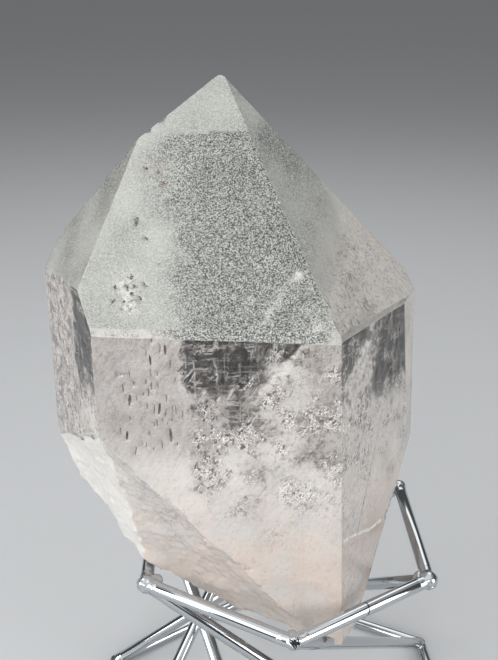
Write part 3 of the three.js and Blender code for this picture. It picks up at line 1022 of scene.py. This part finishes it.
# %% The colour of the milk
warm = add(tree, 'ShaderNodeMapRange', SMOOTH, {'Value': up_crystal, 'From Min': -20.0, 'From Max': -44.0})
slanted_share = add(tree, 'ShaderNodeMath', MULTIPLY_ADD, {0: warm, 1: -0.24, 2: 0.4})
mottle = add(tree, 'ShaderNodeMath', MULTIPLY, {0: crackle, 1: crackled})
shard_off = add(tree, 'ShaderNodeMath', MULTIPLY_ADD, {0: shard_tone, 1: 0.3, 2: -0.15})
shard_here = add(tree, 'ShaderNodeMath', MULTIPLY, {0: shard_off, 1: crackled})
milk = add(tree, 'ShaderNodeMath', MULTIPLY_ADD, {0: level_lines, 1: 0.15, 2: shade})
milk = add(tree, 'ShaderNodeMath', MULTIPLY_ADD, {0: upright_lines, 1: 0.15, 2: milk})
milk = add(tree, 'ShaderNodeMath', MULTIPLY_ADD, {0: slanted_lines, 1: slanted_share, 2: milk})
milk = add(tree, 'ShaderNodeMath', ADD, {0: milk, 1: shard_here})
milk = add(tree, 'ShaderNodeMath', MULTIPLY_ADD, {0: mottle, 1: 1.5, 2: milk})
milk_amount = add(tree, 'ShaderNodeMapRange', None, {'Value': milk, 'From Min': 0.36, 'From Max': 1.35})
pale = add(tree, 'ShaderNodeMix', COLOURS, {'Factor': warm, 6: linear(MILK_LIGHT), 7: linear(MILK_WARM)}, 2)
cool = add(tree, 'ShaderNodeMapRange', SMOOTH, {
    'Value': clouds, 'From Min': 0.45, 'From Max': 0.65, 'To Max': 0.6})
pale = add(tree, 'ShaderNodeMix', COLOURS, {'Factor': cool, 6: pale, 7: linear(MILK_COOL)}, 2)
# broken places turn white; on the chip face that white is partly painted light
chipped = add(tree, 'ShaderNodeMapRange', SMOOTH, {'Value': broken, 'From Min': 0.35, 'From Max': 0.85})
pale = add(tree, 'ShaderNodeMix', COLOURS, {'Factor': chipped, 6: pale, 7: linear(WHITE_CRACKS_AND_LIT_CHIP)}, 2)
milk_colour = add(tree, 'ShaderNodeMix', COLOURS, {'Factor': milk_amount, 6: pale, 7: linear(MILK_DARK)}, 2)
print("milk ready, nodes so far", len(tree.nodes))

# %% Windows, etched faces, stains, and sparkles as painted glints, laid over it
tint = add(tree, 'ShaderNodeMix', COLOURS, {
    'Factor': block_tone, 6: linear(WINDOW_DEEP), 7: linear(WINDOW_PALE)}, 2)
body_colour = add(tree, 'ShaderNodeMix', COLOURS, {'Factor': window, 6: milk_colour, 7: tint}, 2)
salt = add(tree, 'ShaderNodeMapRange', SMOOTH, {
    'Value': grain, 'From Min': 0.25, 'From Max': 0.75, 'To Min': -0.5, 'To Max': 0.5})
salt_strength = add(tree, 'ShaderNodeMath', MULTIPLY_ADD, {0: shade, 1: 2.4, 2: -0.3})
etch_mean = add(tree, 'ShaderNodeMath', MULTIPLY, {0: shade, 1: 1.15})
etch_amount = add(tree, 'ShaderNodeMath', CLAMPED, {0: salt, 1: salt_strength, 2: etch_mean})
etch_dark = add(tree, 'ShaderNodeMix', COLOURS, {
    'Factor': drift, 6: linear(ETCH_DARK), 7: linear(ETCH_GREEN)}, 2)
etch_colour = add(tree, 'ShaderNodeMix', COLOURS, {
    'Factor': etch_amount, 6: linear(ETCH_LIGHT), 7: etch_dark}, 2)
colour = add(tree, 'ShaderNodeMix', COLOURS, {'Factor': etched, 6: body_colour, 7: etch_colour}, 2)
colour = add(tree, 'ShaderNodeMix', COLOURS, {'Factor': stained, 6: colour, 7: linear(STAIN)}, 2)
colour = add(tree, 'ShaderNodeMix', COLOURS, {'Factor': fleck, 6: colour, 7: linear(FLECK)}, 2)
colour = add(tree, 'ShaderNodeMix', COLOURS, {'Factor': glint, 6: colour, 7: linear(SPARKLE)}, 2)
print("colours ready, nodes so far", len(tree.nodes))

# %% Roughness and relief
SATIN_ETCH = 0.38
SATIN_BREAK = 0.25
GLOSS = 0.06
GRAIN_HEIGHT = 0.02  # millimetres
LINE_HEIGHT = 0.014
CRACKLE_HEIGHT = 0.1
SCRATCH_HEIGHT = 0.14
rough_etch = add(tree, 'ShaderNodeMath', CLAMPED, {0: etched, 1: SATIN_ETCH, 2: GLOSS})
roughness = add(tree, 'ShaderNodeMath', CLAMPED, {0: broken, 1: SATIN_BREAK, 2: rough_etch})
grain_here = add(tree, 'ShaderNodeMath', MULTIPLY, {0: grain, 1: etched})
height = add(tree, 'ShaderNodeMath', MULTIPLY, {0: grain_here, 1: GRAIN_HEIGHT})
unetched = add(tree, 'ShaderNodeMath', SUBTRACT, {0: 1.0, 1: etched})
lines_here = add(tree, 'ShaderNodeMath', MULTIPLY, {0: level_lines, 1: unetched})
height = add(tree, 'ShaderNodeMath', MULTIPLY_ADD, {0: lines_here, 1: LINE_HEIGHT, 2: height})
height = add(tree, 'ShaderNodeMath', MULTIPLY_ADD, {0: mottle, 1: CRACKLE_HEIGHT, 2: height})
scratches = add(tree, 'ShaderNodeMath', MULTIPLY, {0: slanted_lines, 1: broken})
height = add(tree, 'ShaderNodeMath', MULTIPLY_ADD, {0: scratches, 1: SCRATCH_HEIGHT, 2: height})
relief_normal = add(tree, 'ShaderNodeBump', None, {'Height': height, 'Distance': MM, 'Strength': 1.0})
print("relief ready, nodes so far", len(tree.nodes))

# %% Join it all in the shader, and smoke in the volume
shader = tree.nodes["Principled BSDF"]
tree.links.new(colour, shader.inputs['Base Color'])
tree.links.new(see, shader.inputs['Transmission Weight'])
tree.links.new(roughness, shader.inputs['Roughness'])
tree.links.new(relief_normal, shader.inputs['Normal'])
shader.inputs['IOR'].default_value = QUARTZ_IOR
smoke = add(tree, 'ShaderNodeVolumeAbsorption', None, {'Color': SMOKE, 'Density': SMOKE_DENSITY})
tree.links.new(smoke, tree.nodes["Material Output"].inputs['Volume'])
quartz.data.materials.clear()
quartz.data.materials.append(grown_quartz)
quartz.data.polygons.foreach_set("material_index", np.zeros(len(quartz.data.polygons), dtype=np.int32))
print("quartz nodes", len(tree.nodes))

# %% [markdown]
# ## Rods of the stand
#
# The stand is welded from straight lengths of bright plated steel rod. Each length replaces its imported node:
# a cylinder with a small bevel round its ends. They stop just short of the corners, where the welds hide the
# ends.

# %% Round rods
ROD_SIDES = 40
END_ROUNDING = 0.35 * MM
END_SHORT = 0.6 * MM
RIM_ANGLE = math.radians(60)
SMOOTH_UNDER = math.radians(40)


def straight_rod(name, start, end, radius):
    """A round rod between two places, with its end rims rounded."""
    along = end - start
    bpy.ops.object.select_all(action='DESELECT')
    bpy.ops.mesh.primitive_cylinder_add(
        vertices=ROD_SIDES, radius=radius, depth=along.length, location=(start + end) / 2,
        rotation=along.to_track_quat('Z', 'Y').to_euler())
    piece = bpy.context.active_object
    piece.name = name
    settle(piece)
    apply_modifier(
        piece, 'BEVEL', width=END_ROUNDING, segments=3, limit_method='ANGLE', angle_limit=RIM_ANGLE)
    choose(piece)
    bpy.ops.object.shade_smooth_by_angle(angle=SMOOTH_UNDER)
    return piece


rod_pieces = {}
for name, (start, end) in rods.items():
    inset = (end - start).normalized() * END_SHORT
    rod_pieces[name] = straight_rod(name + "_rod", start + inset, end - inset, ROD_RADIUS)
print("rods", len(rod_pieces))

# %% [markdown]
# ## The butt joint in the front right bar
#
# In the middle of the upper ring's front right bar two ends of rod meet at a slanted cut, with a lump of weld
# under it. A painted line would vanish in the rod's reflections, so the bar is cut in two with bisect, a
# little apart, and a small bead is joined to both halves.

# %% Cut the bar in two and add the bead
JOINT_ALONG = 0.5  # share of the bar's length
JOINT_GAP = 0.26 * MM
JOINT_SLANT = math.radians(28)
JOINT_BEAD = 0.55 * MM
BEAD_SIDE = Vector((0, -0.55, -0.8)).normalized()
BEAD_OUT = 0.9  # share of the rod's radius


def ball(place, radius):
    """A small round lump of weld metal."""
    bpy.ops.object.select_all(action='DESELECT')
    bpy.ops.mesh.primitive_ico_sphere_add(subdivisions=3, radius=radius, location=place)
    return bpy.context.active_object


bar_start, bar_end = rods["upper_ring_bar_1"]
joint = bar_start.lerp(bar_end, JOINT_ALONG)
slanted_cut = (bar_end - bar_start).normalized()
slanted_cut.rotate(Matrix.Rotation(JOINT_SLANT, 3, 'Y'))
first_half = rod_pieces["upper_ring_bar_1"]
second_half = first_half.copy()
second_half.data = first_half.data.copy()
bpy.context.scene.collection.objects.link(second_half)
cut_off(first_half, joint - slanted_cut * JOINT_GAP / 2, slanted_cut)
cut_off(second_half, joint + slanted_cut * JOINT_GAP / 2, -slanted_cut)
bead = ball(joint + BEAD_SIDE * ROD_RADIUS * BEAD_OUT, JOINT_BEAD)
settle(bead)
bpy.ops.object.shade_smooth()
choose(first_half, second_half, bead)
bpy.ops.object.join()
bpy.ops.object.shade_smooth_by_angle(angle=SMOOTH_UNDER)
print("joined bar faces", len(first_half.data.polygons))

# %% [markdown]
# ## Welds at the corners
#
# Where three rods meet, the welder melted them into one bright elbow: fat and round at some corners, lean at
# others, with crinkles, a fillet in the inner angle and a seam where the melt stopped. Joined balls and stubs
# of rod would show hard creases, so they are merged by a voxel remesh, relaxed, and then wrinkled and
# grooved. One elbow at the front has a ragged notch, coloured near-black as painted shade.

# %% Sizes of the welds
STUB_LENGTH = 3.6 * MM
STUB_RADIUS = 1.53 * MM
WELD_VOXEL = 0.17 * MM
WRINKLE_SIZE = 1.3
SMALL_WRINKLE_SIZE = 0.6
CALM_FROM = 2.2  # millimetres from the corner where the wrinkles and the seam begin to fade
WRINKLE_END = 3.6
SEAM_END = 3.0
SEAM_HALF_WIDTH = 0.16
SEAM_DEPTH = 0.28
# a ragged notch in one front elbow, whose faces get near-black painted shade
NOTCH_RADIUS = 1.1
NOTCH_DEPTH = 0.9
STAR_SIZE = 0.8
STAR_REACH = 1.3
INSIDE_BOX = 0.01 * MM
LEAN_WELD = {"radius": 1.7, "fillet": 1.5, "wrinkle": 0.11, "seam": None, "burnt": None}
UPPER_WELDS = {
    0: {"radius": 1.66, "fillet": 2.2, "wrinkle": 0.09, "seam": None, "burnt": (0.25, -0.85, 0.5)},
    1: {"radius": 2.15, "fillet": 2.1, "wrinkle": 0.05, "seam": (0.35, -0.2, 0.9), "burnt": None},
    2: {"radius": 1.8, "fillet": 1.4, "wrinkle": 0.08, "seam": None, "burnt": None},
    5: {"radius": 2.15, "fillet": 2.6, "wrinkle": 0.26, "seam": (0.5, 0.3, -0.8), "burnt": None},
}
print("upper corners with a weld of their own", list(UPPER_WELDS))


# %% Melt the rods together
def melt(name, corner_place, ends, size):
    """The unwrinkled elbow: a ball, a stub of each rod, and the fillets between them, merged and relaxed."""
    radius = size["radius"] * MM
    reach = size["fillet"] * MM
    lumps = [ball(corner_place, radius)]
    ways = [(end - corner_place).normalized() for end in ends]
    for way in ways:
        lumps.append(straight_rod("stub", corner_place, corner_place + way * STUB_LENGTH, STUB_RADIUS))
    inward = (ways[0] + ways[1]).normalized()
    for share in (0.55, 1.0):
        lumps.append(ball(corner_place + inward * reach * share, radius * (0.95 - 0.3 * share)))
    lumps.append(ball(corner_place + (inward + ways[2]).normalized() * reach * 0.7, radius * 0.7))
    choose(*lumps)
    bpy.ops.object.join()
    piece = bpy.context.active_object
    piece.name = name
    settle(piece)
    apply_modifier(piece, 'REMESH', mode='VOXEL', voxel_size=WELD_VOXEL)
    apply_modifier(piece, 'SMOOTH', factor=0.6, iterations=6)
    return piece


# %% Wrinkle and groove an elbow
def ragged_distance(places, spot):
    """Distance of each place from a spot, made uneven so that what is closest forms a ragged star."""
    star = np.array([noise.noise(Vector(p) / STAR_SIZE) for p in places])
    return np.linalg.norm(places - spot, axis=1) + STAR_REACH * star


def wrinkles(places):
    """Two sizes of wrinkle at places in millimetres."""
    large = np.array([noise.noise(Vector(p) / WRINKLE_SIZE) for p in places])
    small = np.array([noise.noise(Vector(p) / SMALL_WRINKLE_SIZE) for p in places])
    return large + 0.5 * small


def weld(name, corner_place, ends, size):
    """Melt, wrinkle and groove one elbow, and sink a ragged notch into it where it has one, its faces kept for
    painted shade.
    """
    piece = melt(name, corner_place, ends, size)
    mesh = piece.data
    places = read(mesh.vertices, "co", 3)
    local = (places - np.array(corner_place)) / MM
    away = np.linalg.norm(local, axis=1)
    move = wrinkles(places / MM) * size["wrinkle"] * (1 - smooth(CALM_FROM, WRINKLE_END, away))
    if size["seam"]:
        off_seam = local @ np.array(Vector(size["seam"]).normalized()) + local[:, 0] * local[:, 1] / 16 - 0.3
        groove = np.exp(-(off_seam / SEAM_HALF_WIDTH) ** 2)
        move -= SEAM_DEPTH * groove * (1 - smooth(CALM_FROM, SEAM_END, away))
    if size["burnt"]:
        # the ragged notch, whose faces get painted shade further down
        spot = np.array(Vector(size["burnt"]).normalized()) * size["radius"]
        move -= NOTCH_DEPTH * (1 - smooth(0.2, NOTCH_RADIUS, ragged_distance(local, spot)))
    places += read(mesh.vertices, "normal", 3) * move[:, None] * MM
    places = np.clip(places, np.array(cad_low) + INSIDE_BOX, np.array(cad_high) - INSIDE_BOX)
    mesh.vertices.foreach_set("co", places.ravel())
    mesh.update()
    choose(piece)
    bpy.ops.object.shade_smooth()
    if size["burnt"]:
        middles = (read(mesh.polygons, "center", 3) - np.array(corner_place)) / MM
        mesh["burnt_faces"] = (ragged_distance(middles, spot) < NOTCH_RADIUS).nonzero()[0].tolist()
    return piece


# %% Weld the twelve corners
weld_pieces = []
for i in range(CORNERS):
    following = (i + 1) % CORNERS
    strut_foot = base_corners[(i + STRUT_STEP) % CORNERS]
    strut_head = ring_corners[i - STRUT_STEP]
    ring_ends = (ring_corners[following], ring_corners[i - 1], strut_foot)
    base_ends = (base_corners[following], base_corners[i - 1], strut_head)
    upper_size = UPPER_WELDS.get(i, LEAN_WELD)
    weld_pieces.append(weld(f"upper_weld_{i + 1}", ring_corners[i], ring_ends, upper_size))
    weld_pieces.append(weld(f"base_weld_{i + 1}", base_corners[i], base_ends, LEAN_WELD))
print("welds", len(weld_pieces), "faces", sum(len(piece.data.polygons) for piece in weld_pieces))

# %% [markdown]
# ## Bright plating and the notch's painted shade
#
# Plated steel is a mirror with a faint drawn grain along the rod and a few handling smudges, so its roughness
# varies a little, which breaks up its reflections. A metal keeps the default IOR, and its colour is what it
# reflects. The notch in one weld gets painted shade instead: a dull, nearly black material that is no metal.

# %% The plating of rods and welds
PLATE = '#bfc3c6'
SMUDGE = 4  # millimetres across the smudges


def plating(name, roughness, spread, relief, pattern_size):
    """Bright nickel plating: smudged roughness and a shallow relief, with its sizes in millimetres."""
    look = bpy.data.materials.new(name)
    look.use_nodes = True
    nodes = look.node_tree
    surface = nodes.nodes["Principled BSDF"]
    spot = add(nodes, 'ShaderNodeTexCoord', output='Object')
    smudge = add(nodes, 'ShaderNodeTexNoise', None, {
        'Vector': spot, 'Scale': 1 / (SMUDGE * MM), 'Detail': 3.0})
    rough_here = add(nodes, 'ShaderNodeMath', CLAMPED, {0: smudge, 1: spread, 2: roughness})
    nodes.links.new(rough_here, surface.inputs['Roughness'])
    ripple = add(nodes, 'ShaderNodeTexNoise', None, {
        'Vector': spot, 'Scale': 1 / (pattern_size * MM), 'Detail': 2.0})
    bumps = add(nodes, 'ShaderNodeBump', None, {'Height': ripple, 'Distance': relief * MM, 'Strength': 1.0})
    nodes.links.new(bumps, surface.inputs['Normal'])
    surface.inputs['Base Color'].default_value = linear(PLATE)
    surface.inputs['Metallic'].default_value = 1.0
    return look


# nickel over steel is a cool bright mirror: crisp along the rods, and a little blurred on the crinkled welds
bright_plated_rod = plating("bright_plated_rod", 0.03, 0.12, 0.004, 1.6)
plated_weld = plating("plated_weld", 0.1, 0.25, 0.03, 0.7)
print("plating", bright_plated_rod.name, plated_weld.name)

# %% The notch's painted shade, and every metal piece gets its material
# near-black painted shade, dull and no metal, so the eye reads a hole in the bright metal
NOTCH_SHADE_DARK = '#0c0b0a'
NOTCH_SHADE_PALE = '#2b2826'
NOTCH_SHADE_SIZE = 0.4  # millimetres
notch_shade_material = bpy.data.materials.new("painted_notch_shade")
notch_shade_material.use_nodes = True
tree = notch_shade_material.node_tree
notch_shade_shader = tree.nodes["Principled BSDF"]
weld_place = add(tree, 'ShaderNodeTexCoord', output='Object')
notch_shade_noise = add(tree, 'ShaderNodeTexNoise', None, {
    'Vector': weld_place, 'Scale': 1 / (NOTCH_SHADE_SIZE * MM), 'Detail': 2.0})
notch_shade_colour = add(tree, 'ShaderNodeMix', COLOURS, {
    'Factor': notch_shade_noise, 6: linear(NOTCH_SHADE_DARK), 7: linear(NOTCH_SHADE_PALE)}, 2)
tree.links.new(notch_shade_colour, notch_shade_shader.inputs['Base Color'])
notch_shade_shader.inputs['Roughness'].default_value = 0.6

for piece in rod_pieces.values():
    piece.data.materials.clear()
    piece.data.materials.append(bright_plated_rod)
for piece in weld_pieces:
    piece.data.materials.clear()
    piece.data.materials.append(plated_weld)
    # the notch's faces get the near-black painted shade
    if "burnt_faces" in piece.data:
        piece.data.materials.append(notch_shade_material)
        for index in piece.data["burnt_faces"]:
            piece.data.polygons[index].material_index = 1
        del piece.data["burnt_faces"]
print("plated pieces", len(rod_pieces) + len(weld_pieces))

# %% [markdown]
# ## Veils inside the crystal
#
# Old cracks inside a crystal heal and leave sheets of tiny bubbles, which show as white veils behind the
# clear windows. Paint on the surface would not shift against it when the eye moves. So each veil is a loose
# sheet of small flat flakes, copied from one flake and joined, that really hangs inside.

# %% One veil
FLAKE_THIN = 0.06  # millimetres
VEIL_MARGIN = 0.7
BREAK_EXTRA = 1.2


def inside(place):
    """Whether a place in the crystal's axes is well inside it."""
    q = np.array(place)
    in_grown = (grown_normals @ q < grown_distances - VEIL_MARGIN).all()
    in_broken = (break_normals @ q < break_distances - VEIL_MARGIN - BREAK_EXTRA).all()
    return bool(in_grown and in_broken)


def veil(name, start, end, across, width, count, flake_size, stretch, wander):
    """A sheet of flakes from start to end, as wide as width in the direction across, in millimetres."""
    draw = random.Random(name)
    along = Vector(end) - Vector(start)
    sideways = Vector(across).normalized()
    facing = along.cross(sideways).normalized()
    bpy.ops.object.select_all(action='DESELECT')
    bpy.ops.mesh.primitive_ico_sphere_add(subdivisions=1, radius=1)
    first = bpy.context.active_object
    flakes = []
    for number in range(count):
        share = draw.random()
        q = Vector(start) + along * share + sideways * draw.uniform(-0.5, 0.5) * width
        q += facing * (draw.gauss(0, wander) + 1.5 * noise.noise(q / 6))
        if not inside(q):
            continue
        size = flake_size * draw.lognormvariate(0, 0.45)
        sides = Matrix((along.normalized() * size * stretch, sideways * size, facing * FLAKE_THIN))
        tilt = Matrix.Rotation(draw.gauss(0, 0.35), 3, sideways)
        turn = Matrix.Rotation(draw.gauss(0, 0.5), 3, facing)
        flake = first.copy()
        flake.data = first.data.copy()
        bpy.context.scene.collection.objects.link(flake)
        placed = Matrix.Translation(q) @ (tilt @ turn @ sides.transposed()).to_4x4()
        flake.matrix_world = crystal_axes @ Matrix.Diagonal((MM, MM, MM, 1)) @ placed
        flakes.append(flake)
    bpy.data.objects.remove(first)
    choose(*flakes)
    bpy.ops.object.join()
    sheet = bpy.context.active_object
    sheet.name = name
    settle(sheet)
    return sheet


# %% Hang the six veils
VEILS = [  # name, start, end, direction across, width, flakes, flake size, stretch, wander
    ("veil_front_bright", (3, -22, -9), (19, -15, -24), (1, 0.2, 1), 13, 260, 0.42, 1.6, 1.6),
    ("veil_front_patch", (10.5, -23.6, -26.5), (15, -23.6, -24.8), (0, 0, 1), 3.0, 70, 0.4, 1.3, 0.5),
    ("veil_right_fibres", (28, -9, 6), (21, -20, -14), (0.3, 0.4, 0), 5, 150, 0.2, 6.0, 0.8),
    ("veil_point_right", (19, -8, 19), (32, -1, 9), (0, 0.3, 1), 11, 150, 0.35, 2.4, 1.0),
    ("veil_deep", (-16, 4, -8), (16, -4, 10), (0.1, 1, 0.4), 26, 260, 0.5, 1.4, 1.4),
    ("veil_left_sparkle", (-36.5, -8, 3), (-33, -9, -18), (0.5, -1, 0), 7, 160, 0.32, 2.4, 1.2),
]
veils = [veil(*row) for row in VEILS]
print("veils", len(veils), "faces", sum(len(piece.data.polygons) for piece in veils))

# %% Healed crack material
# the bubbles in a healed crack scatter light, so the eye sees a white frost that hangs inside the glass
FROST_WHITE = '#ffffff'
FROST_WARM = '#e9dcd2'
FROST_PATCH = 1.5  # millimetres
healed_crack = bpy.data.materials.new("healed_crack")
healed_crack.use_nodes = True
tree = healed_crack.node_tree
veil_shader = tree.nodes["Principled BSDF"]
veil_place = add(tree, 'ShaderNodeTexCoord', output='Object')
frost = add(tree, 'ShaderNodeTexNoise', None, {
    'Vector': veil_place, 'Scale': 1 / (FROST_PATCH * MM), 'Detail': 2.0})
frost_colour = add(tree, 'ShaderNodeMix', COLOURS, {
    'Factor': frost, 6: linear(FROST_WHITE), 7: linear(FROST_WARM)}, 2)
tree.links.new(frost_colour, veil_shader.inputs['Base Color'])
veil_shader.inputs['Roughness'].default_value = 0.3
veil_shader.inputs['IOR'].default_value = QUARTZ_IOR
for piece in veils:
    piece.data.materials.append(healed_crack)
print("veil material on", len(veils))

# %% [markdown]
# ## The photograph's view
#
# The photograph was taken from above and in front. A camera placed by eye would never line up, so its lens
# and the place of the eye come from fitting a perspective camera to the crystal's known angles and the
# corners of the stand.

# %% Camera
SENSOR = 36  # millimetres along the longer side of the picture
FOCAL_PIXELS = 863
PHOTO_HEIGHT_PIXELS = 660
EYE = Vector((-8.22, -170.23, 194.95)) * MM
PITCH = math.radians(24.11)
NEAREST_SEEN = 0.01
FARTHEST_SEEN = 20
camera_data = bpy.data.cameras.new("photograph_view")
camera_data.lens = FOCAL_PIXELS / PHOTO_HEIGHT_PIXELS * SENSOR
camera_data.sensor_width = SENSOR
camera_data.clip_start = NEAREST_SEEN
camera_data.clip_end = FARTHEST_SEEN
camera = bpy.data.objects.new("photograph_view", camera_data)
bpy.context.scene.collection.objects.link(camera)
camera.location = stand_axis + EYE
camera.rotation_euler = (math.radians(90) - PITCH, 0, 0)
bpy.context.scene.camera = camera
print("lens", round(camera_data.lens, 1), "mm")

# %% [markdown]
# ## Floor and studio light
#
# Clear stone shows mostly what surrounds it, so a quiet surround keeps its own marks readable: a plain pale
# floor, large soft lights all round it and an even sky. Small hard lamps would put glints where there are
# none.

# %% Floor
# matt paper: an even pale ground that takes soft shadows and puts no glare into the rods
FLOOR_SIZE = 14  # metres
FLOOR_GREY = '#bcbec0'
bpy.ops.object.select_all(action='DESELECT')
bpy.ops.mesh.primitive_plane_add(size=FLOOR_SIZE, location=(0, 0, 0))
floor = bpy.context.active_object
floor.name = "floor"
pale_paper = bpy.data.materials.new("pale_paper")
pale_paper.use_nodes = True
paper_shader = pale_paper.node_tree.nodes["Principled BSDF"]
paper_shader.inputs["Base Color"].default_value = linear(FLOOR_GREY)
paper_shader.inputs["Roughness"].default_value = 0.7
floor.data.materials.append(pale_paper)
print("floor", FLOOR_SIZE, "m wide")

# %% Exposure and surround
EXPOSURE = -0.68
SURROUND = (0.25, 0.26, 0.27, 1)
SURROUND_STRENGTH = 0.6
bpy.context.scene.view_settings.view_transform = 'Standard'
bpy.context.scene.view_settings.exposure = EXPOSURE
world = bpy.data.worlds.new("studio")
bpy.context.scene.world = world
world.use_nodes = True
world.node_tree.nodes["Background"].inputs["Color"].default_value = SURROUND
world.node_tree.nodes["Background"].inputs["Strength"].default_value = SURROUND_STRENGTH
print("surround", world.name)

# %% Lamps
SOFTBOXES = [  # name, place and width in metres, power in watts
    ("ceiling", (-0.08, -0.3, 0.62), 1.1, 4.2),
    ("key", (-0.4, -0.3, 0.45), 0.4, 1.5),
    ("front", (-0.15, -0.72, 0.32), 0.45, 4.0),
    ("left", (-0.6, -0.25, 0.24), 0.36, 3.6),
    ("fill", (0.55, -0.38, 0.26), 0.4, 4.2),
    ("top", (0.05, 0.35, 0.55), 0.5, 1.5),
]
SKY_STRENGTH = 0.9
SKY_SPREAD = math.radians(90)
SKY_TILT = math.radians(-15)
for name, place, width, power in SOFTBOXES:
    data = bpy.data.lights.new(name, 'AREA')
    data.shape = 'SQUARE'
    data.size = width
    data.energy = power
    lamp = bpy.data.objects.new(name, data)
    bpy.context.scene.collection.objects.link(lamp)
    lamp.location = place
    lamp.rotation_euler = (heart - Vector(place)).to_track_quat('-Z', 'Y').to_euler()
sky = bpy.data.lights.new("sky", 'SUN')
sky.energy = SKY_STRENGTH
sky.angle = SKY_SPREAD
sky_lamp = bpy.data.objects.new("sky", sky)
bpy.context.scene.collection.objects.link(sky_lamp)
sky_lamp.rotation_euler = (SKY_TILT, 0, 0)
print("softboxes", len(SOFTBOXES), "and a soft sky")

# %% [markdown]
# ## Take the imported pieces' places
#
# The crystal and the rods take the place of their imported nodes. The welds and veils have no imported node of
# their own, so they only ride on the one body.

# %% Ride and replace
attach(quartz, "root")
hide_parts("crystal")
for name, piece in rod_pieces.items():
    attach(piece, "root")
    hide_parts(name)
for piece in weld_pieces:
    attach(piece, "root")
for piece in veils:
    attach(piece, "root")
